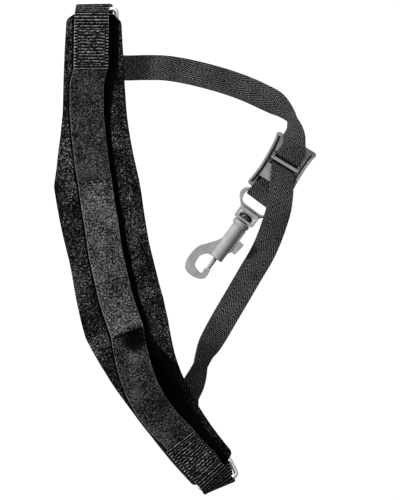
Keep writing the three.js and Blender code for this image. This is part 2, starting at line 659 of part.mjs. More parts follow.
function springGeometry() {
  const [low, high] = [FLANGE_BACK + 0.7, STUD_FOOT - 0.7];
  const turns = 5;
  const coil = new THREE.Curve();
  coil.getPoint = (t) => V(2.4 * Math.cos(t * turns * 2 * Math.PI), low + (high - low) * t,
    2.4 * Math.sin(t * turns * 2 * Math.PI));
  const wire = new THREE.Shape().absarc(0, 0, 0.35, 0, 2 * Math.PI, false);
  return new THREE.ExtrudeGeometry(wire, { steps: turns * 10, extrudePath: coil, curveSegments: 3 });
}
addPart('bolt_spring', springGeometry(), 'nickel', hookFrame);

// ---------------------------------------------------------------- tape
// One tape runs from the upper ring along the table, through the slider, round the hook's eye,
// back through the slider and along the table to the lower ring. Each row of a route is
// [x, y, z, direction of its width in degrees, roll of its width in degrees].
const sliderSpot = (across, up, z) => V(across, up, z)
  .applyMatrix4(new THREE.Matrix4().makeRotationZ(rad(SLIDER_TURN)).setPosition(...SLIDER_AT, 0));
const hookSpot = (across, up, z) => V(across, up, z)
  .applyMatrix4(new THREE.Matrix4().makeRotationZ(rad(HOOK_TURN)).setPosition(...HOOK_AT, HOOK_Z));

const inSlider = (across, up, z) => [...sliderSpot(across, up, z), SLIDER_TURN, 0];
const inHook = (across, up, z, turn = HOOK_TURN) => [...hookSpot(across, up, z - HOOK_Z), turn, 0];

const UNDER_PLATE = PLATE_LOW - GAP - TAPE_THICK / 2;
const OVER_PLATE = PLATE_HIGH + GAP + TAPE_THICK / 2;
const UNDER_BAR = HOOK_Z - EYE_THICK / 2 - GAP - TAPE_THICK / 2;
const OVER_BAR = HOOK_Z + EYE_THICK / 2 + GAP + TAPE_THICK / 2;
const LOWEST = 0.1 + TAPE_THICK / 2;
const SECOND = 1.5;

const upperRoute = [
  [-65.6, 151, LOWEST, 1, 0], [-65.5, 147, LOWEST, 3, 0], [-63.4, 141, LOWEST, 30, 0],
  [-57.5, 136.8, LOWEST, 65, 0], [-50, 135.2, LOWEST, 84, 0], [-42, 134.9, LOWEST, 90, 0],
  [-30, 135.2, LOWEST, 90, 0], [-15, 134.9, LOWEST, 86, 0], [0, 132.6, LOWEST, 80, 0],
  [16, 128.9, LOWEST, 76, 0], [31, 124.6, LOWEST, 73, 0], [46, 119.2, LOWEST + 0.2, 69, 0],
  [59, 113.2, 2, 65, 6], [67.5, 108.6, 4.3, 58, 22], [74.4, 102.8, 8.7, 44, 50],
  [79.9, 95.8, 11.2, 16, 70], [82.2, 88.2, 13.4, -8, 50], [81.8, 81, 11.7, -24, 20],
  inSlider(0.5, 12.5, 8.8), inSlider(0, 8, 7.4), inSlider(0, 5.2, OVER_PLATE),
  inSlider(0, 4.4, 6.9), inSlider(0, 4.05, 6), inSlider(0, 3.9, 4.4), inSlider(0, 3.3, 2.8),
  inSlider(0, 2, 1.75), inSlider(0, 0.3, SECOND), inSlider(0, -1.2, SECOND),
];

const bightRoute = [
  inSlider(0, -1.5, SECOND), inSlider(0, -5, SECOND), inSlider(-1.4, -15, SECOND),
  inSlider(-2.3, -24.6, SECOND + 0.1),
  inHook(-1.1, 41, 2.7, -35), inHook(-1, 38.6, 3.7), inHook(-1, 36.6, UNDER_BAR),
  inHook(-1, 35, UNDER_BAR), inHook(-1, 34.3, UNDER_BAR + 0.3), inHook(-1, 34, UNDER_BAR + 1),
  inHook(-1, 34, OVER_BAR - 1), inHook(-1, 34.3, OVER_BAR - 0.3), inHook(-1, 35, OVER_BAR),
  inHook(-1, 36.8, OVER_BAR), inHook(-1, 38.6, OVER_BAR - 0.05), inHook(-1.1, 41, 8.6, -35),
  inSlider(-2.2, -24.7, OVER_PLATE + 0.2), inSlider(-2.1, -23.5, 7), inSlider(-2, -22.3, 5.8),
  inSlider(-1.9, -20.6, 4.4), inSlider(-1.7, -18.6, 3.7), inSlider(-1.6, -16, UNDER_PLATE),
];

const lowerRoute = [
  inSlider(-1.6, -14.7, UNDER_PLATE), inSlider(-1.2, -11, UNDER_PLATE), inSlider(0.2, -5.4, UNDER_PLATE),
  inSlider(0.6, -4.1, 3.95), inSlider(0.7, -3.3, 4.8), inSlider(0.8, -3.3, 6), inSlider(0.9, -4.1, 6.9),
  inSlider(1.2, -5.6, OVER_PLATE), [73.1, 54.6, 8.6, -29, 0], [72.5, 50, 9.9, -24, 0],
  [72, 44, 10.9, -18, 0], [71.2, 36.5, 11.4, -14, 0], [69.8, 28, 11.4, -13, 0], [67, 18.5, 9.8, -17, 0],
  [62.8, 6.5, 5, -21, 0], [57.6, -5, 1.7, -25, 0], [50.5, -17, LOWEST + 0.1, -29, 0],
  [40, -35, LOWEST, -30, 0], [30, -52, LOWEST + 0.1, -30, 0], [23.4, -63.6, 2.5, -30, -9],
  [18.6, -72, 4.7, -30, -22], [14.6, -79.6, 7.8, -26, -44], [11.8, -87.4, 8.9, -20, -55],
  [9.3, -95, 6.7, -20, -40], [5.8, -103, 4.9, -20, -23], [1.8, -111, 4.2, -16, -19],
  [1.6, -120, 3.8, 0, -18], [4.2, -129.5, 3.4, 13, -15], [8, -138.2, 3, 19, -13],
  [11.6, -145.4, 3.1, 21, -14], [14, -150.4, 3.5, 21.2, -17],
];

// frames of the tape along a route, with a section about every step millimetres
function tapeFrames(route, steps) {
  const middle = new THREE.CatmullRomCurve3(route.map(([x, y, z]) => V(x, y, z)), false, 'centripetal');
  const frames = [];
  for (let i = 0; i < route.length - 1; i += 1) {
    const length = V(...route[i]).distanceTo(V(...route[i + 1]));
    const pieces = Math.max(1, Math.round(length / steps));
    for (let j = i === 0 ? 0 : 1; j <= pieces; j += 1) {
      const part = j / pieces;
      const at = (i + part) / (route.length - 1);
      const turn = rad(route[i][3] + (route[i + 1][3] - route[i][3]) * part);
      const roll = rad(route[i][4] + (route[i + 1][4] - route[i][4]) * part);
      const across = V(Math.cos(turn) * Math.cos(roll), Math.sin(turn) * Math.cos(roll), Math.sin(roll));
      const normal = middle.getTangent(at).cross(across).normalize();
      across.crossVectors(normal, middle.getTangent(at)).normalize();
      frames.push({ middle: middle.getPoint(at), across, normal });
    }
  }
  return frames;
}

addPart('tape_upper_run', ribbon(tapeFrames(upperRoute, 8), TAPE_WIDTH, TAPE_THICK), 'tape');
addPart('tape_hook_bight', ribbon(tapeFrames(bightRoute, 8), TAPE_WIDTH, TAPE_THICK), 'tape');
addPart('tape_lower_run', ribbon(tapeFrames(lowerRoute, 8), TAPE_WIDTH, TAPE_THICK), 'tape');

// the routes above are drawn from a point near the middle of the strap; this puts the origin
// exactly under the middle of its bounding box
strap.position.set(-0.242, 0.073, 0);

export default strap;
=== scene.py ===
"""The looks of a saxophone neck strap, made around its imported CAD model.

Lengths are in metres, in the CAD model's own frame. The strap lies on the floor, z = 0, and +Y runs
along it towards the pad's upper end.
"""
import math

import bpy
import numpy as np
from mathutils import Matrix, Vector


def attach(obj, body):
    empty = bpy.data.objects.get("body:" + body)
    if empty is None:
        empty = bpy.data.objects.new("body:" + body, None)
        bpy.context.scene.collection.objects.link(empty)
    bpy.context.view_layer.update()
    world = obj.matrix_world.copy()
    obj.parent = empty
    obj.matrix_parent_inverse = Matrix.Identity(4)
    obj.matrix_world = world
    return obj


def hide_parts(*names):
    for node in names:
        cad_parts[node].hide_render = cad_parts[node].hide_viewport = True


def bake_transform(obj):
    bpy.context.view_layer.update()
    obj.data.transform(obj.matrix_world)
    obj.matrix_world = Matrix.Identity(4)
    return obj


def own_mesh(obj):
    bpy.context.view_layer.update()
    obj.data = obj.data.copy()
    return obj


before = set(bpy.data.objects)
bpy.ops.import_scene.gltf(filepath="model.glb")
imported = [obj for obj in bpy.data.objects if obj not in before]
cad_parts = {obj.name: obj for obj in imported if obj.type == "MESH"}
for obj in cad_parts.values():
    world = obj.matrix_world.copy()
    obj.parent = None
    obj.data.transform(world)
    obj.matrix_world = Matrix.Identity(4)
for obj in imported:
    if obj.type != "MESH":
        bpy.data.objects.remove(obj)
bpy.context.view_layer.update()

MM = 0.001
SHIFT = np.array([-0.242, 0.073, 0.0]) * MM  # from the point that routes are drawn from to the origin
GAP = 0.3 * MM
WEB_WIDTH = 25.4 * MM
WEB_THICK = 1.6 * MM
TAPE_WIDTH = 19 * MM
TAPE_THICK = 1.3 * MM

# the weaves, in millimetres, as the strips' UVs are
RIB_PITCH, YARN_PITCH = 2.25, 0.95
SEWN_MIDDLE, SEWN_HALF = 16.5, 13  # the box of stitches, back from a tab's inner end
SEWN_SIDE = 10.3
COLUMN, TWILL_SLOPE, TWILL_PITCH = 4.8, 2.2, 3.2


# ---------------------------------------------------------------- camera, light and floor
VIEW_MIDDLE = (11.18 * MM, -1.35 * MM)
VIEW_HEIGHT = 373.15 * MM  # of the picture, at the height of the strap
STRAP_LEVEL = 7 * MM
CAMERA_HEIGHT = 1.8
SENSOR = 36

camera = bpy.data.objects.new("camera", bpy.data.cameras.new("camera"))
camera.location = (*VIEW_MIDDLE, CAMERA_HEIGHT)
camera.data.sensor_width = SENSOR
camera.data.lens = SENSOR * (CAMERA_HEIGHT - STRAP_LEVEL) / VIEW_HEIGHT
camera.data.clip_end = 50
bpy.context.collection.objects.link(camera)
bpy.context.scene.camera = camera
bpy.context.scene.view_settings.view_transform = "Standard"


def area_light(name, place, size, power):
    lamp = bpy.data.objects.new(name, bpy.data.lights.new(name, "AREA"))
    lamp.data.shape = "DISK"
    lamp.data.size = size
    lamp.data.energy = power
    lamp.location = place
    lamp.rotation_euler = (-Vector(place)).to_track_quat("-Z", "Y").to_euler()
    bpy.context.collection.objects.link(lamp)


area_light("key_light", (-1.3, 0.35, 0.85), 0.35, 52)
area_light("top_light", (0.3, 0.1, 2.1), 1.2, 12)
area_light("back_light", (0.1, 1.3, 0.45), 0.4, 11)

world = bpy.data.worlds.new("studio")
bpy.context.scene.world = world
world.use_nodes = True
world.node_tree.nodes["Background"].inputs["Color"].default_value = (1, 1, 1, 1)
world.node_tree.nodes["Background"].inputs["Strength"].default_value = 0.27


# ---------------------------------------------------------------- shader nodes
class Shader:
    """A node material with a Principled BSDF; its methods add nodes and return their output sockets."""

    def __init__(self, name, **constants):
        self.material = bpy.data.materials.new(name)
        self.material.use_nodes = True
        self.tree = self.material.node_tree
        self.surface = self.tree.nodes["Principled BSDF"]
        for key, value in constants.items():
            self.surface.inputs[key.replace("_", " ")].default_value = value

    def add(self, kind, inputs, output=0, **settings):
        node = self.tree.nodes.new("ShaderNode" + kind)
        for key, value in settings.items():
            setattr(node, key, value)
        for key, value in inputs.items():
            self.feed(node.inputs[key], value)
        return node.outputs[output]

    def feed(self, socket, value):
        if isinstance(value, bpy.types.NodeSocket):
            self.tree.links.new(value, socket)
        else:
            socket.default_value = value

    def math(self, operation, a, b=0.0, clamp=False):
        return self.add("Math", {0: a, 1: b}, operation=operation, use_clamp=clamp)

    def place(self, scale=1.0):
        """Position in the row frame, with millimetres as units, times scale."""
        coords = self.add("TexCoord", {}, output="Object")
        return self.add("VectorMath", {0: coords, "Scale": scale / MM}, operation="SCALE")

    def cloth_uv(self):
        """Millimetres across and along a strip."""
        uv = self.add("UVMap", {}, uv_map="cloth")
        node = self.tree.nodes.new("ShaderNodeSeparateXYZ")
        self.feed(node.inputs[0], uv)
        return node.outputs[0], node.outputs[1]

    def noise(self, vector, scale, detail=2.0, rough=0.5):
        inputs = {"Vector": vector, "Scale": scale, "Detail": detail, "Roughness": rough}
        return self.add("TexNoise", inputs)

    def cells(self, vector, scale):
        return self.add("TexVoronoi", {"Vector": vector, "Scale": scale})

    def ramp(self, value, *stops):
        """Grey levels or colours at places from 0 to 1."""
        node = self.tree.nodes.new("ShaderNodeValToRGB")
        elements = node.color_ramp.elements
        while len(elements) < len(stops):
            elements.new(0.5)
        for element, (at, colour) in zip(elements, stops):
            element.position = at
            grey = colour if isinstance(colour, tuple) else (colour,) * 3
            element.color = (*grey, 1)
        self.feed(node.inputs[0], value)
        return node.outputs[0]

    def scaled(self, colour, amount):
        """A colour times a number."""
        return self.add("VectorMath", {0: colour, "Scale": amount}, operation="SCALE")

    def colour(self, value):
        self.feed(self.surface.inputs["Base Color"], value)

    def painted_crevice_shade(self, distance, darkest, low, high):
        """A factor that falls to darkest where the surface is closed in: painted shade in corners, grooves and
        between parts. low and high are the shares of open sky between which it falls."""
        sky = self.add("AmbientOcclusion", {"Distance": distance}, output="AO", samples=6)
        return self.ramp(sky, (low, darkest), (high, 1.0))

    def roughness(self, value):
        self.feed(self.surface.inputs["Roughness"], value)

    def bump(self, height, depth, strength=1.0):
        """depth is how far, in metres, the surface rises as height goes from 0 to 1."""
        normal = self.add("Bump", {"Height": height, "Distance": depth, "Strength": strength})
        self.feed(self.surface.inputs["Normal"], normal)


def edge_highlight_mask(m, u, half):
    """1 within half a millimetre of a strip's edges, else 0: where a highlight is painted along them."""
    return m.ramp(m.math("SUBTRACT", m.math("ABSOLUTE", u), half - 1), (0.35, 0.0), (0.6, 1.0))


def loop_fabric():
    """Black loop cloth: a tangle of loops, of which the tallest catch the light. The attribute
    "shaded" is how much of that light the band keeps off."""
    m = Shader("loop_fabric", Roughness=0.95, Specular_IOR_Level=0.02)
    spot = m.place()
    tangle = m.noise(spot, 1.0, 4, 0.75)
    patches = m.noise(spot, 0.05, 2)
    level = m.math("ADD", tangle, m.math("MULTIPLY", m.math("SUBTRACT", patches, 0.5), 0.22))
    shaded = m.add("Attribute", {}, output="Fac", attribute_name="shaded")
    level = m.math("SUBTRACT", level, m.math("ADD", m.math("MULTIPLY", shaded, 0.2), 0.012))
    loops = m.ramp(level, (0.46, 0.0006), (0.53, 0.007), (0.6, 0.075), (0.71, 0.34))
    # painted shade where the cloth is closed in, as along the band's edges
    m.colour(m.scaled(loops, m.painted_crevice_shade(4 * MM, 0.03, 0.45, 0.8)))
    fine = m.noise(spot, 2.6, 2)
    m.bump(m.math("ADD", tangle, m.math("MULTIPLY", fine, 0.4)), 0.6 * MM)
    return m.material


DENT_SHADE_AT = (-36.6, -67.0, 0)  # millimetres; painted shade, as of a dent in the band, darkens the cloth about here


def band_cloth(name, light):
    """Charcoal brushed stretch cloth with a short, uneven nap and a painted highlight along its edges."""
    m = Shader(name, Roughness=0.95, Specular_IOR_Level=0.02)
    spot = m.place()
    nap = m.noise(spot, 0.9, 4, 0.8)
    patches = m.noise(spot, 0.06, 3)
    level = m.math("ADD", nap, m.math("MULTIPLY", m.math("SUBTRACT", patches, 0.5), 0.16))
    # a painted highlight along both edges of the band
    edge = edge_highlight_mask(m, m.cloth_uv()[0], WEB_WIDTH / MM / 2)
    level = m.math("ADD", level, m.math("MULTIPLY", edge, 0.1))
    # painted shade about the dent's place: full within about 2 mm, gone by about 11 mm
    flat = m.add("VectorMath", {0: spot, 1: (1, 1, 0)}, operation="MULTIPLY")
    from_dent = m.add("VectorMath", {0: flat, 1: DENT_SHADE_AT}, output="Value", operation="DISTANCE")
    dent_shade = m.ramp(m.math("DIVIDE", from_dent, 14), (0.15, 0.2), (0.8, 0.0))
    level = m.math("SUBTRACT", level, dent_shade)
    charcoal = m.ramp(level, (0.42, (0.0008, 0.0008, 0.0009)), (0.5, (0.009, 0.0091, 0.0093)),
                      (0.61, (0.11, 0.111, 0.113)))
    # painted shade where the band is closed in, as at a tab's inner end
    m.colour(m.scaled(m.scaled(charcoal, light), m.painted_crevice_shade(3 * MM, 0.03, 0.5, 0.72)))
    m.bump(m.math("ADD", nap, m.noise(spot, 3.0, 2)), 0.35 * MM)
    return m.material


def lining_cloth():
    """Black knitted lining: small wales in rows, worn a little grey."""
    m = Shader("lining_cloth", Roughness=0.9, Specular_IOR_Level=0.15)
    spot = m.place()
    wales = m.cells(spot, 1.3)
    worn = m.noise(spot, 0.06, 3)
    knit = m.math("MULTIPLY", m.math("SUBTRACT", 1.0, wales), m.math("ADD", worn, 0.4))
    m.colour(m.ramp(knit, (0.2, 0.003), (0.75, 0.02), (1.0, 0.045)))
    m.bump(m.math("SUBTRACT", 1.0, wales), 0.25 * MM)
    return m.material


def foam():
    """Closed-cell foam, seen at the pad's edge."""
    m = Shader("foam", Roughness=0.9, Specular_IOR_Level=0.15)
    spot = m.place()
    pores = m.cells(spot, 2.2)
    m.colour(m.ramp(pores, (0.0, 0.002), (0.6, 0.008), (1.0, 0.02)))
    m.bump(pores, 0.12 * MM)
    return m.material


def webbing():
    """Ribbed black webbing: ribs of weft crossed by warp yarns. Inside a tab's box of stitches, the
    ribs are pulled out of line."""
    m = Shader("webbing", Roughness=0.7, Specular_IOR_Level=0.06)
    u, v = m.cloth_uv()
    turn = 2 * math.pi
    uneven = m.noise(m.place(), 0.5, 2)
    sewn = m.math("MULTIPLY", m.math("LESS_THAN", m.math("ABSOLUTE", u), SEWN_SIDE),
                  m.math("LESS_THAN", m.math("ABSOLUTE", m.math("ADD", v, SEWN_MIDDLE)), SEWN_HALF))
    pulled = m.math("ADD", m.math("MULTIPLY", sewn, 5.5), 1.2)
    rib_at = m.math("ADD", m.math("MULTIPLY", v, turn / RIB_PITCH), m.math("MULTIPLY", uneven, pulled))
    rib = m.math("ADD", m.math("MULTIPLY", m.math("COSINE", rib_at), 0.5), 0.5)
    yarn_at = m.math("MULTIPLY", u, turn / YARN_PITCH)
    yarn = m.math("ADD", m.math("MULTIPLY", m.math("COSINE", yarn_at), 0.5), 0.5)
    height = m.math("MULTIPLY", rib, m.math("ADD", m.math("MULTIPLY", yarn, 0.4), 0.6))
    fibre = m.noise(m.place(), 0.6, 3, 0.75)
    light = m.math("MULTIPLY", height, m.math("MULTIPLY", fibre, 1.9))
    # a painted highlight along both edges of the webbing
    edge = edge_highlight_mask(m, u, WEB_WIDTH / MM / 2)
    light = m.math("ADD", light, m.math("MULTIPLY", edge, 0.15))
    yarns = m.ramp(light, (0.44, 0.0006), (0.66, 0.008), (0.95, 0.3))
    # painted shade where the webbing is closed in by nearby parts
    m.colour(m.scaled(yarns, m.painted_crevice_shade(4 * MM, 0.05, 0.35, 0.75)))
    m.bump(height, 0.3 * MM)
    return m.material


def herringbone():
    """Herringbone tape: twill lines that turn at each column, grey where the yarns stand up."""
    m = Shader("herringbone", Roughness=0.75, Specular_IOR_Level=0.08)
    u, v = m.cloth_uv()
    column = m.math("DIVIDE", m.math("ADD", u, TAPE_WIDTH / 2 / MM), COLUMN)
    zigzag = m.math("PINGPONG", column, 1.0)
    rise = m.math("MULTIPLY", zigzag, COLUMN * TWILL_SLOPE)
    wander = m.math("MULTIPLY", m.math("SUBTRACT", m.noise(m.place(), 0.22, 2), 0.5), 1.6)
    along = m.math("ADD", m.math("ADD", v, rise), wander)
    line = m.math("COSINE", m.math("MULTIPLY", along, 2 * math.pi / TWILL_PITCH))
    line = m.math("ADD", m.math("MULTIPLY", line, 0.5), 0.5)
    pick = m.math("COSINE", m.math("MULTIPLY", v, 2 * math.pi / 1.1))
    pick = m.math("ADD", m.math("MULTIPLY", pick, 0.15), 0.85)
    fibre = m.noise(m.place(), 1.0, 3, 0.65)
    patches = m.noise(m.place(), 0.06, 2)
    light = m.math("MULTIPLY", m.math("MULTIPLY", line, pick), m.math("ADD", fibre, 0.45))
    light = m.math("ADD", light, m.math("MULTIPLY", m.math("SUBTRACT", patches, 0.5), 0.3))
    yarns = m.ramp(light, (0.32, 0.0008), (0.52, 0.009), (0.95, 0.14))
    # painted shade where the tape is closed in, as under the slider's bar
    m.colour(m.scaled(yarns, m.painted_crevice_shade(5 * MM, 0.02, 0.3, 0.7)))
    m.bump(m.math("MULTIPLY", line, pick), 0.25 * MM)
    return m.material


def thread():
    """Black sewing thread with the lay of its plies."""
    m = Shader("thread", Roughness=0.5, Specular_IOR_Level=0.3)
    spot = m.place()
    plies = m.add("TexWave", {"Vector": spot, "Scale": 1.2, "Distortion": 1.5, "Detail": 1.0})
    m.colour(m.ramp(plies, (0.2, 0.005), (0.9, 0.06)))
    m.bump(plies, 0.06 * MM)
    return m.material


def pulled_thread():
    """Black thread for stitches sunk into the cloth, darkened with painted shade."""
    m = Shader("pulled_thread", Roughness=0.8, Specular_IOR_Level=0.1)
    plies = m.add("TexWave", {"Vector": m.place(), "Scale": 1.2, "Distortion": 1.5, "Detail": 1.0})
    # a darker copy of thread()'s colour: painted shade
    m.colour(m.ramp(plies, (0.2, 0.001), (0.9, 0.004)))
    m.bump(plies, 0.05 * MM)
    return m.material


def nickel():
    """Nickel-plated wire with hairline scratches."""
    m = Shader("nickel", Metallic=0.9)
    spot = m.place()
    haze = m.noise(spot, 0.4, 4)
    scratches = m.noise(spot, 3.0, 3, 0.6)
    m.colour(m.ramp(haze, (0.3, (0.8, 0.8, 0.79)), (0.7, (0.95, 0.95, 0.94))))
    m.roughness(m.ramp(scratches, (0.35, 0.36), (0.7, 0.5)))
    m.bump(scratches, 0.005 * MM)
    return m.material


def grey_plastic(name, dark, light):
    """Grey moulded plastic: fine grain and flow marks, with painted shade in its grooves and holes."""
    m = Shader(name, Specular_IOR_Level=0.35)
    spot = m.place()
    flow = m.noise(spot, 0.16, 3)
    grain = m.noise(spot, 2.5, 3, 0.6)
    level = m.math("ADD", m.math("MULTIPLY", flow, 0.7), m.math("MULTIPLY", grain, 0.3))
    shade = m.ramp(level, (0.35, dark), (0.65, light))
    # painted shade in the grooves, holes and inner corners of the moulding
    m.colour(m.scaled(shade, m.painted_crevice_shade(4 * MM, 0.01, 0.42, 0.88)))
    m.roughness(m.ramp(grain, (0.3, 0.55), (0.7, 0.72)))
    m.bump(grain, 0.03 * MM)
    return m.material


def pin_steel(name, dark, light):
    """Dull grey steel, satin from turning in its hole, with painted shade in its corners."""
    m = Shader(name, Metallic=0.4)
    spot = m.place()
    wear = m.noise(spot, 0.7, 4)
    steel = m.ramp(wear, (0.35, dark), (0.7, light))
    # painted shade in the corners of the steel
    m.colour(m.scaled(steel, m.painted_crevice_shade(7 * MM, 0.02, 0.5, 0.95)))
    m.roughness(m.ramp(wear, (0.3, 0.3), (0.7, 0.5)))
    m.bump(wear, 0.02 * MM)
    return m.material


LOOP_FABRIC, LINING_CLOTH, FOAM = loop_fabric(), lining_cloth(), foam()
BAND_CLOTH, PANEL_CLOTH = band_cloth("band_cloth", 0.72), band_cloth("panel_cloth", 1.3)
WEBBING, HERRINGBONE, THREAD, SHADED_THREAD = webbing(), herringbone(), thread(), pulled_thread()
NICKEL = nickel()
BOLT_STEEL, STUD_STEEL = pin_steel("bolt_steel", 0.13, 0.24), pin_steel("stud_steel", 0.015, 0.06)
HOOK_PLASTIC = grey_plastic("hook_plastic", 0.15, 0.21)
SLIDER_PLASTIC = grey_plastic("slider_plastic", 0.12, 0.17)


# ---------------------------------------------------------------- curves and strips
class Route:
    """A centripetal Catmull-Rom curve through points, the curve that the CAD model uses."""

    def __init__(self, points):
        self.points = np.array(points, float)
        first = 2 * self.points[0] - self.points[1]
        last = 2 * self.points[-1] - self.points[-2]
        self.padded = np.vstack([first, self.points, last])

    def at(self, places):
        """Points at places counted in spans from the first point."""
        spans = len(self.points) - 1
        span = np.clip(np.floor(places).astype(int), 0, spans - 1)
        t = (places - span)[:, None]
        p0, p1, p2, p3 = (self.padded[span + i] for i in range(4))
        pairs = ((p0, p1), (p1, p2), (p2, p3))
        d0, d1, d2 = (np.linalg.norm(b - a, axis=1)[:, None] ** 0.5 for a, b in pairs)
        m1 = d1 * ((p1 - p0) / d0 - (p2 - p0) / (d0 + d1) + (p2 - p1) / d1)
        m2 = d1 * ((p2 - p1) / d1 - (p3 - p1) / (d1 + d2) + (p3 - p2) / d2)
        return (p1 + m1 * t + (3 * (p2 - p1) - 2 * m1 - m2) * t ** 2 + (2 * (p1 - p2) + m1 + m2) * t ** 3)


def lengths_along(points):
    return np.concatenate([[0], np.cumsum(np.linalg.norm(np.diff(points, axis=0), axis=1))])


def unit(vectors):
    return vectors / np.linalg.norm(vectors, axis=-1, keepdims=True)


def smoothstep(x):
    x = np.clip(x, 0, 1)
    return x * x * (3 - 2 * x)


class Path:
    """Evenly spaced frames of a strip: its middle, the unit vector across it, its normal and length so far."""

    def __init__(self, middles, across, step):
        route = Route(middles)
        fine = np.linspace(0, len(middles) - 1, 40 * (len(middles) - 1) + 1)
        points = route.at(fine)
        along = lengths_along(points)
        self.length = along[-1]
        count = max(3, int(round(self.length / step)) + 1)
        places = np.interp(np.linspace(0, self.length, count), along, fine)
        self.middle = route.at(places)
        self.tangent = unit(np.gradient(self.middle, axis=0))
        corners = np.arange(len(middles))
        turned = np.stack([np.interp(places, corners, np.array(across)[:, k]) for k in range(3)], axis=1)
        self.normal = unit(np.cross(self.tangent, turned))
        self.across = unit(turned)
        self.along = np.linspace(0, self.length, count)


def mesh_object(name, points, faces, material, uvs=None, smooth=True):
    mesh = bpy.data.meshes.new(name)
    mesh.from_pydata([tuple(p) for p in points], [], faces)
    if uvs is not None:
        layer = mesh.uv_layers.new(name="cloth")
        loops = np.zeros(len(mesh.loops), np.int32)
        mesh.loops.foreach_get("vertex_index", loops)
        layer.data.foreach_set("uv", np.asarray(uvs, np.float32)[loops].ravel())
    mesh.materials.append(material)
    mesh.polygons.foreach_set("use_smooth", [smooth] * len(mesh.polygons))
    mesh.validate()
    mesh.update()
    piece = bpy.data.objects.new(name, mesh)
    bpy.context.collection.objects.link(piece)
    return piece


def tube_faces(rings, around):
    """Quads of a tube whose sections go round a top row and back along a bottom row, and of its two ends."""
    faces = []
    for i in range(rings - 1):
        here, there = i * around, (i + 1) * around
        for j in range(around):
            k = (j + 1) % around
            faces.append((here + j, there + j, there + k, here + k))
    last = (rings - 1) * around
    for j in range(around // 2):
        cap = [j, j + 1, around - j - 1, (around - j) % around]
        cap = list(dict.fromkeys(cap))
        faces.append(tuple(cap))
        faces.append(tuple(last + corner for corner in reversed(cap)))
    return faces


EDGE_ROWS = 4


def across_strip(left, right, edge, columns):
    """Places across a strip from left to right, closer together in its round edges, and how far each
    is in from the nearer side. left and right hold a value for each frame."""
    insets = edge * (1 - np.cos(np.linspace(0, math.pi / 2, EDGE_ROWS + 1)))
    share = np.linspace(0, 1, columns + 1)[None, 1:-1]
    low, high = left[:, None] + edge, right[:, None] - edge
    places = np.hstack([left[:, None] + insets, low + (high - low) * share, right[:, None] - insets[::-1]])
    return places, np.minimum(places - left[:, None], right[:, None] - places)


def flat_strip(name, path, width, thick, material, relief=None, columns=28):
    """A flat strip with round edges. relief(u, v) is how far, in metres, its faces stand proud at u
    across and v along it, in millimetres."""
    half = np.full(len(path.middle), width / 2)
    edge = thick / 2
    u, inset = across_strip(-half, half, edge, columns)
    tall = np.sqrt(np.maximum(0, edge ** 2 - np.maximum(0, edge - inset) ** 2))
    v = np.broadcast_to(path.along[:, None], u.shape)
    if relief:
        tall = tall + relief(u / MM, v / MM) * (tall / edge)
    middle = path.middle[:, None] + path.across[:, None] * u[..., None]
    rise = path.normal[:, None] * tall[..., None]
    sections = np.concatenate([middle + rise, (middle - rise)[:, -2:0:-1]], axis=1)
    uv = np.stack([u / MM, v / MM], axis=-1)
    uv = np.concatenate([uv, uv[:, -2:0:-1]], axis=1)
    faces = tube_faces(*sections.shape[:2])
    return mesh_object(name, sections.reshape(-1, 3), faces, material, uv.reshape(-1, 2))


def finish_piece(piece, slot, *nodes, body=None):
    """Hides the CAD nodes that a piece stands for, and lets it ride on a body. Its slot is not used."""
    if nodes:
        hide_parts(*nodes)
    if body:
        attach(piece, body)
    return piece


# ---------------------------------------------------------------- the pad's own frame
# A place on the pad is (s, v, h): s along its middle line from the upper end, v across it to the
# right and h above its underside.
PAD_LINE = Route(np.array([
    (-67.6, 173.7, 0), (-67.6, 150, 0), (-67.5, 120, 0), (-67.0, 88, 0), (-65.7, 56, 0),
    (-61.4, 22, 0), (-54.6, -11, 0), (-46.6, -44, 0), (-35.2, -76, 0), (-18.6, -110, 0),
    (2.6, -142.2, 0), (22.2, -165.5, 0)]) * MM + SHIFT)
PAD_SPANS = len(PAD_LINE.points) - 1
PAD_FINE = np.linspace(0, PAD_SPANS, 6000)
PAD_ALONG = lengths_along(PAD_LINE.at(PAD_FINE))
PAD_LENGTH = PAD_ALONG[-1] / MM  # this section is in millimetres up to pad_point
LINING, CORE, FACE = 0.9, 4.5, 0.9
PAD_THICK = LINING + CORE + FACE + 2 * GAP / MM
PAD_REST_HIGH, END_HIGH, END_TILT = 8.9, 13.2, math.radians(18)
OUTER_HALF_WIDTH = np.array([
    (0, 15), (3.2, 19.4), (5.5, 20.4), (27, 21.6), (48, 22.6), (72, 23.8), (90, 26.1),
    (113, 29.9), (124.6, 32.8), (178, 30.6), (232.5, 32.8), (259, 28.3), (293, 23.4), (313, 21.8),
    (339, 20.6), (PAD_LENGTH - 3.5, 20), (PAD_LENGTH - 1.5, 18.4), (PAD_LENGTH, 15.2)])
INNER_HALF_WIDTH = np.array([
    (0, 14.8), (5, 20.1), (7, 20.6), (27, 21.7), (48, 22.6), (72, 23.8), (84, 25),
    (97, 26.9), (113, 29.4), (126, 31), (138, 31.6), (158, 31.3), (178, 30.6), (200, 31.1), (222, 31.4),
    (240, 29.7), (254, 27.2), (268, 24.5), (284, 22.3), (307, 20), (339, 18.8),
    (PAD_LENGTH - 3.5, 18), (PAD_LENGTH - 1.5, 16.8), (PAD_LENGTH, 13.5)])


def along_table(table, s):
    table = np.array(table, float)
    return np.interp(s, table[:, 0], table[:, 1])


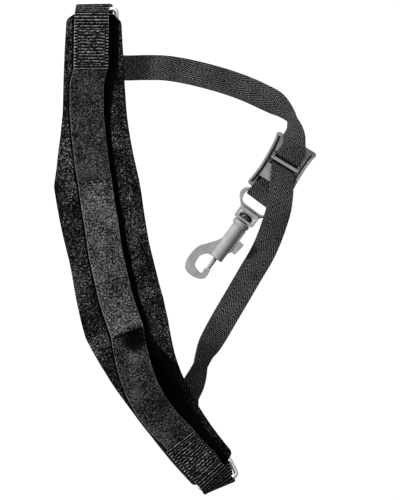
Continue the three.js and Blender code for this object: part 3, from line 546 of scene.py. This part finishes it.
def pad_frame(s):
    """Middle (metres), travel, across and normal at each place s."""
    s = np.atleast_1d(np.asarray(s, float))
    inside = np.clip(s, 0, PAD_LENGTH)
    step = 0.05
    at = lambda length: PAD_LINE.at(np.interp(length * MM, PAD_ALONG, PAD_FINE))
    travel = unit(at(np.minimum(inside + step, PAD_LENGTH)) - at(np.maximum(inside - step, 0)))
    middle = at(inside) + travel * ((s - inside) * MM)[:, None]
    upper = PAD_REST_HIGH * smoothstep((82 - s) / 50)
    lower = END_HIGH * smoothstep((s - 188) / 75)
    middle[:, 2] = np.where(s < 150, upper, lower) * MM
    tilt = (END_TILT * smoothstep((s - 262) / 68))[:, None]
    flat = np.stack([-travel[:, 1], travel[:, 0], 0 * s], axis=1)
    up = np.array([0.0, 0.0, 1.0])
    return middle, travel, flat * np.cos(tilt) - up * np.sin(tilt), flat * np.sin(tilt) + up * np.cos(tilt)


def pad_point(s, v, h):
    """Points in metres at places in millimetres."""
    s, v, h = (np.atleast_1d(np.asarray(x, float)) for x in np.broadcast_arrays(s, v, h))
    middle, _, across, normal = pad_frame(s)
    return middle + (across * v[:, None] + normal * h[:, None]) * MM


BAND_START, BAND_END, BAND_THICK = 5, PAD_LENGTH - 6, 1.2
PANEL_START, PANEL_END, PANEL_THICK = 123.6, 239.1, 0.8
BAND_CENTRE = [
    (0, -1.6), (40, -2.2), (52, -5.2), (72, -5.7), (90, -4.7), (115, -2.6), (124, -1.8), (157, -1.3),
    (178, -2.7), (213, -2.5), (237, -1.6), (255, -5.2), (281, -9.2), (295, -10.4), (310, -9.4),
    (322, -7.4), (PAD_LENGTH, -5)]


def band_lift(s):
    return (1.2 * smoothstep((s - 42) / 25) * smoothstep((130 - s) / 25)
            + 1.6 * smoothstep((s - 130) / 40) * smoothstep((250 - s) / 40)
            + 5.5 * smoothstep((s - 236) / 40) * smoothstep((316 - s) / 36))


def pad_path(start, end, centre, height, step):
    """The frames of a strip that lies along the pad; centre and height are functions of s."""
    s = np.linspace(start, end, int(round((end - start) / step)) + 1)
    _, _, across, _ = pad_frame(s)
    return Path(pad_point(s, centre(s), height(s)), across, step * MM)


# ---------------------------------------------------------------- ends: rings, tabs and tape eyes
ENDS = {
    "upper": dict(side=1, bar_out=4.6, bar_right=1.5, yaw=1, at=lambda t: -t,
                  tab_centre=[(-4, -1.2), (40, -1.8)], tab_inner=40.6, rise=[(2.4, 5.7), (0.4, 8.2)]),
    "lower": dict(side=-1, bar_out=9.2, bar_right=-2.2, yaw=-18, at=lambda t: PAD_LENGTH + t,
                  tab_centre=[(-8, -6.4), (36, -9)], tab_inner=33, rise=[(7.6, 4.6), (3.2, 8.2)]),
}
RING_WIRE, RING_REACH, RING_RISE = 1.7, 13.5, 2.9
RING_HALF, RING_CORNER = 14.95, 2.7
TAPE_BAR_Z = RING_WIRE + 0.3 + TAPE_THICK / MM + 0.05
TAB_BAR_Z = TAPE_BAR_Z + RING_RISE
TAB_TOP = PAD_THICK + 0.3 + BAND_THICK + 0.3 + WEB_THICK / MM / 2
TAB_LOWER = 22
LOOP_TAIL = 10


def end_matrix(end):
    """The frame of a ring: x across the webbing, y outwards and z from the table side to the pad."""
    _, travel, across, normal = (a[0] for a in pad_frame(end["at"](0)))
    origin = pad_point(end["at"](end["bar_out"]), end["bar_right"], -PAD_REST_HIGH)[0]
    place = Matrix([Vector(across * end["side"]), Vector(-travel * end["side"]), Vector(normal)]).transposed()
    return Matrix.Translation(origin) @ place.to_4x4() @ Matrix.Rotation(math.radians(end["yaw"]), 4, "Z")


def in_end(end, spots):
    """Points in the row frame from [x, y, z] of an end's frame in millimetres, and its x direction."""
    matrix = end_matrix(end)
    points = [np.array(matrix @ (Vector(spot) * MM)) for spot in spots]
    return points, np.array(matrix.to_3x3() @ Vector((1, 0, 0)))


# ---------------------------------------------------------------- tape: the free cord, made first
# Each row is [x, y, z, direction of its width, roll of its width] in millimetres and degrees, as in
# the CAD model; rows in the slider's or hook's own frame are turned into such rows.
SLIDER_AT, SLIDER_TURN = (74.7, 62.9), -31
HOOK_AT, HOOK_TURN, HOOK_Z = (34.7, 8.1), -36.5, 6.9


def spot_in(origin, turn, across, up, z, heading):
    c, s = math.cos(math.radians(turn)), math.sin(math.radians(turn))
    return (origin[0] + across * c - up * s, origin[1] + across * s + up * c, z, heading, 0)


def in_slider(across, up, z):
    return spot_in(SLIDER_AT, SLIDER_TURN, across, up, z, SLIDER_TURN)


def in_hook(across, up, z, heading=HOOK_TURN):
    return spot_in(HOOK_AT, HOOK_TURN, across, up, z, heading)


THICK = TAPE_THICK / MM
UNDER_PLATE, OVER_PLATE = 4.5 - 0.3 - THICK / 2, 6.3 + 0.3 + THICK / 2
UNDER_BAR, OVER_BAR = HOOK_Z - 1.9 - 0.3 - THICK / 2, HOOK_Z + 1.9 + 0.3 + THICK / 2
LOWEST, SECOND = 0.1 + THICK / 2, 1.5

UPPER_END = [
    (-65.6, 151, LOWEST, 1, 0), (-65.5, 147, LOWEST, 3, 0), (-63.4, 141, LOWEST, 30, 0),
    (-57.5, 136.8, LOWEST, 65, 0), (-50, 135.2, LOWEST, 84, 0)]
UPPER_RUN = [
    (-50, 135.2, LOWEST, 84, 0), (-42, 134.9, LOWEST, 90, 0),
    (-30, 135.2, LOWEST, 90, 0), (-15, 134.9, LOWEST, 86, 0), (0, 132.6, LOWEST, 80, 0),
    (16, 128.9, LOWEST, 76, 0), (31, 124.6, LOWEST, 73, 0), (46, 119.2, LOWEST + 0.2, 69, 0),
    (59, 113.2, 2, 65, 6), (67.5, 108.6, 4.3, 58, 22), (74.4, 102.8, 8.7, 44, 50),
    (79.9, 95.8, 11.2, 16, 70), (82.2, 88.2, 13.4, -8, 50), (81.8, 81, 11.7, -24, 20),
    in_slider(0.5, 12.5, 8.8), in_slider(0, 8, 7.4), in_slider(0, 5.2, OVER_PLATE),
    in_slider(0, 4.4, 6.9), in_slider(0, 4.05, 6), in_slider(0, 3.9, 4.4), in_slider(0, 3.3, 2.8),
    in_slider(0, 2, 1.75), in_slider(0, 0.3, SECOND), in_slider(0, -1.35, SECOND)]
HOOK_RUN = [
    in_slider(0, -1.35, SECOND), in_slider(0, -5, SECOND), in_slider(-1.4, -15, SECOND),
    in_slider(-2.3, -24.6, SECOND + 0.1),
    in_hook(-1.1, 41, 2.7, -35), in_hook(-1, 38.6, 3.7), in_hook(-1, 36.6, UNDER_BAR),
    in_hook(-1, 35, UNDER_BAR), in_hook(-1, 34.3, UNDER_BAR + 0.3), in_hook(-1, 34, UNDER_BAR + 1),
    in_hook(-1, 34, OVER_BAR - 1), in_hook(-1, 34.3, OVER_BAR - 0.3), in_hook(-1, 35, OVER_BAR),
    in_hook(-1, 36.8, OVER_BAR), in_hook(-1, 38.6, OVER_BAR - 0.05), in_hook(-1.1, 41, 8.6, -35),
    in_slider(-2.2, -24.7, OVER_PLATE + 0.2), in_slider(-2.1, -23.5, 7), in_slider(-2, -22.3, 5.8),
    in_slider(-1.9, -20.6, 4.4), in_slider(-1.7, -18.6, 3.7), in_slider(-1.6, -16, UNDER_PLATE),
    in_slider(-1.2, -11, UNDER_PLATE), in_slider(0.2, -5.4, UNDER_PLATE),
    in_slider(0.6, -4.1, 3.95), in_slider(0.7, -3.3, 4.8), in_slider(0.8, -3.3, 6),
    in_slider(0.9, -4.1, 6.9), in_slider(1.2, -5.6, OVER_PLATE),
    (73.1, 54.6, 8.6, -29, 0), (72.5, 50, 9.9, -24, 0),
    (72, 44, 10.9, -18, 0), (71.2, 36.5, 11.4, -14, 0), (69.8, 28, 11.4, -13, 0),
    (67, 18.5, 9.8, -17, 0), (62.8, 6.5, 5, -21, 0), (57.6, -5, 1.7, -25, 0),
    (50.5, -17, LOWEST + 0.1, -29, 0), (40, -35, LOWEST, -30, 0), (30, -52, LOWEST + 0.1, -30, 0),
    (23.4, -63.6, 2.5, -30, -9), (18.6, -72, 4.7, -30, -22), (14.6, -79.6, 7.8, -26, -44),
    (11.8, -87.4, 8.9, -20, -55), (9.3, -95, 6.7, -20, -40), (5.8, -103, 4.9, -20, -23),
    (1.8, -111, 4.2, -16, -19)]
LOWER_END = [
    (1.8, -111, 4.2, -16, -19), (1.6, -120, 3.8, 0, -18), (4.2, -129.5, 3.4, 13, -15),
    (8, -138.2, 3, 19, -13), (11.6, -145.4, 3.1, 21, -14), (14, -150.4, 3.5, 21.2, -17)]


def tape_path(rows, step=0.45 * MM):
    middles = [np.array(row[:3]) * MM + SHIFT for row in rows]
    across = []
    for *_, heading, roll in rows:
        heading, roll = math.radians(heading), math.radians(roll)
        flat = math.cos(roll)
        across.append((math.cos(heading) * flat, math.sin(heading) * flat, math.sin(roll)))
    return Path(middles, across, step)


def twill_relief(u, v):
    """The raised lines of the herringbone, as its material draws them."""
    column = (u + TAPE_WIDTH / 2 / MM) / COLUMN
    zigzag = 1 - np.abs(np.mod(column, 2) - 1)
    line = np.cos((v + zigzag * COLUMN * TWILL_SLOPE) * 2 * math.pi / TWILL_PITCH)
    return line * 0.07 * MM


def tape(name, rows):
    path = tape_path(rows)
    return flat_strip(name, path, TAPE_WIDTH - 0.15 * MM, TAPE_THICK - 0.14 * MM, HERRINGBONE,
                      twill_relief, columns=44), path


upper_end, upper_end_path = tape("tape_upper_end", UPPER_END)
upper_run, upper_run_path = tape("tape_upper_run_cloth", UPPER_RUN)
hook_run, hook_run_path = tape("tape_hook_run_cloth", HOOK_RUN)
lower_end, lower_end_path = tape("tape_lower_end", LOWER_END)
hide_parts("tape_upper_run")
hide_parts("tape_hook_bight", "tape_lower_run")
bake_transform(upper_run)
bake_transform(hook_run)
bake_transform(upper_end)
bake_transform(lower_end)


# ---------------------------------------------------------------- pad
random = np.random.default_rng(5)


def rough_field(shape, softness):
    """Smooth random lumps from -1 to 1 on a grid."""
    field = random.normal(size=shape)
    for _ in range(softness):
        for axis in (0, 1):
            field = (field + np.roll(field, 1, axis) + np.roll(field, -1, axis)) / 3
    return field / np.abs(field).max()


def pad_layer(name, low, high, inset, material, edge, top=None, bottom=None, shade=None,
              columns=60, step=1.6):
    """A layer of the pad. top and bottom give how far its faces stand proud, in millimetres, from how
    far in from the left and right side a point is."""
    s = np.concatenate([[0, 0.25, 0.5, 1, 1.5, 2.5], np.arange(3.5, PAD_LENGTH - 3.5, step),
                        PAD_LENGTH - np.array([3.5, 2.5, 1.5, 1, 0.5, 0.25, 0])])
    left = -along_table(OUTER_HALF_WIDTH, s) + inset
    right = along_table(INNER_HALF_WIDTH, s) - inset
    v, near = across_strip(left, right, edge, columns)
    tall = (high - low) / 2
    dome = tall - edge + np.sqrt(np.maximum(0, edge ** 2 - np.maximum(0, edge - near) ** 2))
    middle = (low + high) / 2
    sides = (v - left[:, None], right[:, None] - v)
    upper = middle + dome + (top(*sides, s[:, None]) if top else 0)
    lower = middle - dome + (bottom(*sides, s[:, None]) if bottom else 0)
    wide = np.broadcast_to(s[:, None], v.shape)
    faces_of = [pad_point(wide.ravel(), v.ravel(), h.ravel()).reshape(*v.shape, 3) for h in (upper, lower)]
    sections = np.concatenate([faces_of[0], faces_of[1][:, -2:0:-1]], axis=1)
    layer = mesh_object(name, sections.reshape(-1, 3), tube_faces(*sections.shape[:2]), material)
    if shade:
        amount = shade(s[:, None], v)
        amount = np.concatenate([amount, amount[:, -2:0:-1]], axis=1)
        layer.data.attributes.new("shaded", "FLOAT", "POINT").data.foreach_set("value", amount.ravel())
    return layer


def band_shade(s, v):
    """How much of the light the loose band keeps off the face beside it, from 0 to 1: a line on its
    left, a strip on its right, wider at the upper end, and all but the pad's rim where the band lifts
    near the lower end."""
    beside = v - along_table(BAND_CENTRE, s)
    half = WEB_WIDTH / MM / 2
    left = (beside < 0) * (1 - smoothstep((-beside - half - 0.5) / 1.2))
    lifted = smoothstep((s - 240) / 60)
    reach = 2.6 + 3.5 * (1 - smoothstep((s - 45) / 40)) + 22 * lifted
    right = (beside > 0) * (1 - smoothstep((beside - half - reach) / 2.5))
    rim = smoothstep((v - along_table(INNER_HALF_WIDTH, s) + 6.5) / 2)
    return np.maximum(left, right * (1 - 0.75 * rim * lifted))


def face_relief(from_left, from_right, s):
    """A sewn groove and a soft welt along each side, and lumps of the loops."""
    welt = 0.0
    for inward, depth in ((from_left, 0.35), (from_right, 0.7)):
        groove = np.exp(-((inward - 3.4) / 0.8) ** 2)
        swell = np.exp(-((inward - 1.6) / 1.1) ** 2)
        welt = welt + depth * (0.35 * swell - groove)
    lumps = rough_field(from_left.shape, 2) * 0.16 + rough_field(from_left.shape, 12) * 0.3
    return welt + lumps - 0.25


def lining_relief(from_left, from_right, s):
    return np.abs(rough_field(from_left.shape, 10)) * 0.25


pad_face = pad_layer("pad_face_cloth", PAD_THICK - FACE, PAD_THICK, 0, LOOP_FABRIC, 0.42, top=face_relief,
                     shade=band_shade)
pad_foam = pad_layer("pad_foam", LINING + 0.05, PAD_THICK - FACE - 0.05, 0.35, FOAM, 1.6)
pad_back = pad_layer("pad_lining_cloth", 0, LINING, 0, LINING_CLOTH, 0.42, bottom=lining_relief)
finish_piece(pad_face, "loop_fabric", "pad_face", body="root")
finish_piece(pad_foam, "foam", "pad_core", body="root")
finish_piece(pad_back, "lining", "pad_lining", body="root")


# ---------------------------------------------------------------- band, panel and seams
BAND_MIDDLE = PAD_THICK + 0.3 + BAND_THICK / 2
PANEL_MIDDLE = BAND_MIDDLE + BAND_THICK / 2 + 0.15 + PANEL_THICK / 2
band_centre = lambda s: along_table(BAND_CENTRE, s)


def nap_relief(amount):
    return lambda u, v: (rough_field(u.shape, 2) * 0.4 + rough_field(u.shape, 14)) * amount * MM


band = flat_strip("control_band_cloth", pad_path(BAND_START, BAND_END, band_centre,
                  lambda s: BAND_MIDDLE + band_lift(s), 0.9), WEB_WIDTH, (BAND_THICK - 0.2) * MM, BAND_CLOTH,
                  nap_relief(0.12))
panel = flat_strip("band_panel_cloth", pad_path(PANEL_START, PANEL_END, band_centre,
                   lambda s: PANEL_MIDDLE + band_lift(s), 0.9), WEB_WIDTH - 0.4 * MM, PANEL_THICK * MM,
                   PANEL_CLOTH, nap_relief(0.08))
finish_piece(band, "band_cloth", "control_band", body="root")
finish_piece(panel, "band_cloth", "band_panel", body="root")


def stitches(name, lines, length, gap, radius, body, *nodes, material=THREAD):
    """Rows of stitches. Each line is (points, normals), in metres, and each stitch is a short thread
    that rises out of the cloth and goes back in."""
    points, faces = [], []
    around, rings = 6, 7
    for middle, normals in lines:
        along = lengths_along(middle)
        count = max(1, int(along[-1] // (length + gap)))
        pitch = along[-1] / count
        for i in range(count):
            stretch = np.linspace(i * pitch + gap / 2, (i + 1) * pitch - gap / 2, rings)
            at = np.stack([np.interp(stretch, along, middle[:, k]) for k in range(3)], axis=1)
            up = unit(np.stack([np.interp(stretch, along, normals[:, k]) for k in range(3)], axis=1))
            run = unit(np.gradient(at, axis=0))
            out = np.cross(run, up)
            arch = np.sin(np.linspace(0, math.pi, rings))
            at = at + up * ((arch ** 0.5 - 0.75) * radius)[:, None]
            thick = radius * (0.45 + 0.55 * arch ** 0.5)
            first = len(points)
            for j in range(rings):
                for k in range(around):
                    turn = 2 * math.pi * k / around
                    points.append(at[j] + thick[j] * (out[j] * math.cos(turn) + up[j] * math.sin(turn)))
            for j in range(rings - 1):
                for k in range(around):
                    a, b = first + j * around + k, first + j * around + (k + 1) % around
                    faces.append((a, a + around, b + around, b))
            faces.append(tuple(first + k for k in range(around)))
            faces.append(tuple(first + (rings - 1) * around + k for k in reversed(range(around))))
    return finish_piece(mesh_object(name, points, faces, material), "thread", *nodes, body=body)


def line_on_pad(start, end, centre, height, count=24):
    """A straight line between two places (s, v), v from a strip's own middle, as stitches() takes it."""
    s = np.linspace(start[0], end[0], count)
    v = np.linspace(start[1], end[1], count)
    _, _, _, normal = pad_frame(s)
    return pad_point(s, centre(s) + v, height(s)), normal


SEAM_HALF = WEB_WIDTH / MM / 2 - 1.4
SEAM_INSET = 0.9  # from the panel's end
SEAM_STITCH, SEAM_GAP, SEAM_RADIUS = 2.6 * MM, 1.4 * MM, 0.72 * MM
panel_top = lambda s: PANEL_MIDDLE + PANEL_THICK / 2 + 0.1 + band_lift(s)
for name, s, skew in (("band_seam_upper", PANEL_START + SEAM_INSET, -1.2),
                      ("band_seam_lower", PANEL_END - SEAM_INSET, 0)):
    row = line_on_pad((s - skew / 2, -SEAM_HALF), (s + skew / 2, SEAM_HALF), band_centre, panel_top)
    stitches(name + "_thread", [row], SEAM_STITCH, SEAM_GAP, SEAM_RADIUS, "root", name,
             material=SHADED_THREAD)


# ---------------------------------------------------------------- rings, tabs and tape eyes
def rib_relief(u, v):
    ribs = np.cos(v * 2 * math.pi / RIB_PITCH)
    yarns = np.cos(u * 2 * math.pi / YARN_PITCH)
    return (ribs * 0.16 + np.maximum(ribs, 0) * yarns * 0.04) * MM


def tab_path(end):
    """Round the ring's outer bar from under the pad, then back over the pad."""
    r = RING_WIRE + 0.3 + WEB_THICK / MM / 2 + 0.1
    left = -end["side"]
    under = PAD_REST_HIGH - 0.5 - WEB_THICK / MM / 2
    bend = [(0.2 * left, r * math.cos(math.radians(d)), TAB_BAR_Z + r * math.sin(math.radians(d)))
            for d in (215, 240, 270, 305, 335)]
    spots = [(0.2 * left, -TAB_LOWER, under), (0.2 * left, -13, under), (0.2 * left, -6.6, under),
             (0.2 * left, -5, under - 0.5), (0.2 * left, -3.5, under - 1.9), *bend,
             (0.9 * left, r, TAB_BAR_Z), (1.9 * left, r + 0.25, TAB_BAR_Z + 2.6)]
    middles, x = in_end(end, spots)
    across = [x] * len(middles)
    places = [*end["rise"], (-2.6, TAB_TOP)]
    places += [(-t, TAB_TOP) for t in np.arange(7, end["tab_inner"] - 3, 6)] + [(-end["tab_inner"], TAB_TOP)]
    for t, h in places:
        s = end["at"](t)
        middles.append(pad_point(s, along_table(end["tab_centre"], -t), h)[0])
        across.append(pad_frame(s)[2][0] * end["side"])
    return Path(middles, across, 0.4 * MM)


def eye_path(end):
    """The tape's sewn end: in along the lower layer, round the inner bar and back on top of itself."""
    r = RING_WIRE + 0.3 + THICK / 2
    low = TAPE_BAR_Z - r
    spots = [(-RING_REACH - r - THICK / 2 - LOOP_TAIL, low), (-RING_REACH - 9, low), (-RING_REACH - 3, low)]
    spots += [(-RING_REACH + r * math.cos(math.radians(d)), TAPE_BAR_Z + r * math.sin(math.radians(d)))
              for d in range(-90, 121, 15)]
    spots += [(-RING_REACH - 4.6, low + THICK + 1.0), (-RING_REACH - 7, low + THICK + 0.04),
              (-RING_REACH - 10, low + THICK + 0.02), (spots[0][0], low + THICK + 0.02)]
    middles, x = in_end(end, [(0, y, z) for y, z in spots])
    return Path(middles, [x] * len(middles), 0.45 * MM)


def ring_wire(name, end, around=24, steps=8):
    """Round wire bent to a rectangle with round corners; its tab bar is higher than its tape bar."""
    slope = RING_RISE / RING_REACH
    turns = np.linspace(0, 2 * math.pi, around, endpoint=False)
    up = unit(np.array([0, -slope, 1.0]))
    points = []
    for corner in range(4):
        side_x, side_y = (1 if corner in (0, 3) else -1), (1 if corner < 2 else -1)
        for angle in (corner + np.linspace(0, 1, steps + 1)) * math.pi / 2:
            out = np.array([math.cos(angle), math.sin(angle), 0])
            centre = np.array([side_x * (RING_HALF - RING_CORNER),
                               side_y * (RING_REACH / 2 - RING_CORNER) - RING_REACH / 2, 0])
            centre = centre + RING_CORNER * out
            centre[2] = TAB_BAR_Z + slope * centre[1]
            out = unit(out + (0, 0, slope * out[1]))
            points.extend(centre + RING_WIRE * (out * math.cos(t) + up * math.sin(t)) for t in turns)
    count = len(points) // around
    faces = [(i * around + j, (i + 1) % count * around + j, (i + 1) % count * around + (j + 1) % around,
              i * around + (j + 1) % around) for i in range(count) for j in range(around)]
    return mesh_object(name, in_end(end, points)[0], faces, NICKEL)


def applied(piece, material):
    """The piece with its modifiers made real, smooth shaded and with one material."""
    graph = bpy.context.evaluated_depsgraph_get()
    mesh = bpy.data.meshes.new_from_object(piece.evaluated_get(graph))
    piece.modifiers.clear()
    piece.data = mesh
    mesh.materials.clear()
    mesh.materials.append(material)
    mesh.polygons.foreach_set("material_index", [0] * len(mesh.polygons))
    mesh.polygons.foreach_set("use_smooth", [True] * len(mesh.polygons))
    return piece


TAB_STITCH, TAB_GAP, TAB_RADIUS = 2.4 * MM, 0.5 * MM, 0.42 * MM
TACK_STITCH, TACK_GAP, TACK_RADIUS = 2 * MM, 0.1 * MM, 0.25 * MM
TACK_HALF, TACK_PITCH = 7.5, 0.55

for side, end in ENDS.items():
    ring = ring_wire(side + "_ring_wire", end)
    finish_piece(ring, "ring_metal", side + "_ring", body=side + "_ring")

    path = tab_path(end)
    path.along = path.along - path.length
    tab = flat_strip(side + "_tab_webbing", path, WEB_WIDTH, WEB_THICK - 0.3 * MM, WEBBING,
                     rib_relief, columns=56)
    finish_piece(tab, "webbing", side + "_tab", body="root")

    eye = flat_strip(side + "_tape_eye", eye_path(end), TAPE_WIDTH - 0.15 * MM, TAPE_THICK - 0.14 * MM,
                     HERRINGBONE, twill_relief, columns=44)
    finish_piece(eye, "tape", side + "_tape_loop", body=side + "_ring")

    half, near, far = WEB_WIDTH / MM / 2 - 2.6, 7, end["tab_inner"] - 2.6
    centre = lambda s, end=end: along_table(end["tab_centre"], np.abs(s - end["at"](0)))
    tab_surface = lambda s: TAB_TOP + WEB_THICK / MM / 2 + 0 * s
    corners = [(near, -half), (near, half), (far, half), (far, -half)]
    sides = [(corners[i], corners[(i + 1) % 4]) for i in range(4)]
    rows = [line_on_pad((end["at"](-a[0]), a[1]), (end["at"](-b[0]), b[1]), centre, tab_surface)
            for a, b in [*sides, (corners[0], corners[2]), (corners[1], corners[3])]]
    stitches(side + "_tab_stitches", rows, TAB_STITCH, TAB_GAP, TAB_RADIUS, "root",
             side + "_tab_stitching", material=SHADED_THREAD)

    tack_z = TAPE_BAR_Z - RING_WIRE - 0.3 + THICK + 0.06
    tack_y = -RING_REACH - RING_WIRE - 0.3 - THICK - 5.5
    bars = []
    for x in np.arange(-TACK_HALF, TACK_HALF + 0.1, TACK_PITCH):
        tack, _ = in_end(end, [(x, tack_y - 1.1, tack_z), (x, tack_y + 1.1, tack_z)])
        up = np.array(end_matrix(end).to_3x3() @ Vector((0, 0, 1)))
        bars.append((np.array(tack), np.array([up, up])))
    stitches(side + "_bar_tack", bars, TACK_STITCH, TACK_GAP, TACK_RADIUS, side + "_ring",
             side + "_loop_tack")


# ---------------------------------------------------------------- slider and hook
def moulded(name, node, material, body, slot, voxel, passes):
    """A copy of a CAD solid with the soft edges of a moulding: remeshed finely, then smoothed."""
    copy = bpy.data.objects.new(name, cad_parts[node].data.copy())
    bpy.context.collection.objects.link(copy)
    remesh = copy.modifiers.new("remesh", "REMESH")
    remesh.mode = "VOXEL"
    remesh.voxel_size = voxel
    soften = copy.modifiers.new("soften", "SMOOTH")
    soften.factor = 0.5
    soften.iterations = passes
    return finish_piece(applied(copy, material), slot, node, body=body)


moulded("slider_moulding", "slider", SLIDER_PLASTIC, "slider", "grey_plastic", 0.3 * MM, 4)
moulded("hook_eye_casting", "hook_eye", HOOK_PLASTIC, "hook_eye", "grey_plastic", 0.3 * MM, 5)
moulded("hook_body_casting", "hook_body", HOOK_PLASTIC, "hook", "grey_plastic", 0.3 * MM, 5)
moulded("swivel_stud_turned", "swivel_stud", STUD_STEEL, "hook", "pin_metal", 0.2 * MM, 4)
moulded("bolt_pin_turned", "bolt_pin", BOLT_STEEL, "bolt", "pin_metal", 0.15 * MM, 4)
moulded("thumb_knob_casting", "thumb_knob", HOOK_PLASTIC, "bolt", "grey_plastic", 0.18 * MM, 3)

# the spring, a nickel copy of the CAD coil with a mesh of its own, rides on the hook; it is not made to
# shorten as the bolt is drawn back
spring = bpy.data.objects.new("bolt_spring_wire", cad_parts["bolt_spring"].data.copy())
bpy.context.collection.objects.link(spring)
finish_piece(applied(spring, NICKEL), "spring_steel", "bolt_spring", body="hook")
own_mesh(spring)


# ---------------------------------------------------------------- floor
floor_shader = Shader("floor_paper", Roughness=0.9, Specular_IOR_Level=0.0)
fibres = floor_shader.noise(floor_shader.place(), 0.02, 2)
floor_shader.colour(floor_shader.ramp(fibres, (0.3, 0.05), (0.7, 0.055)))
# the floor glows an even white, but where it is closed in, as in the slider's slot ends, the glow is cut to a
# painted shadow
open_sky = floor_shader.add("AmbientOcclusion", {"Distance": 9 * MM}, output="AO", samples=24)
floor_shader.feed(floor_shader.surface.inputs["Emission Color"], (1, 1, 1, 1))
floor_shader.feed(floor_shader.surface.inputs["Emission Strength"],
                  floor_shader.ramp(open_sky, (0.24, 0.0), (0.37, 1.0)))
floor = mesh_object("floor", [(-4, -4, 0), (4, -4, 0), (4, 4, 0), (-4, 4, 0)], [(0, 1, 2, 3)],
                    floor_shader.material, smooth=False)
floor.location.z = -0.02 * MM
floor.visible_diffuse = floor.visible_glossy = False
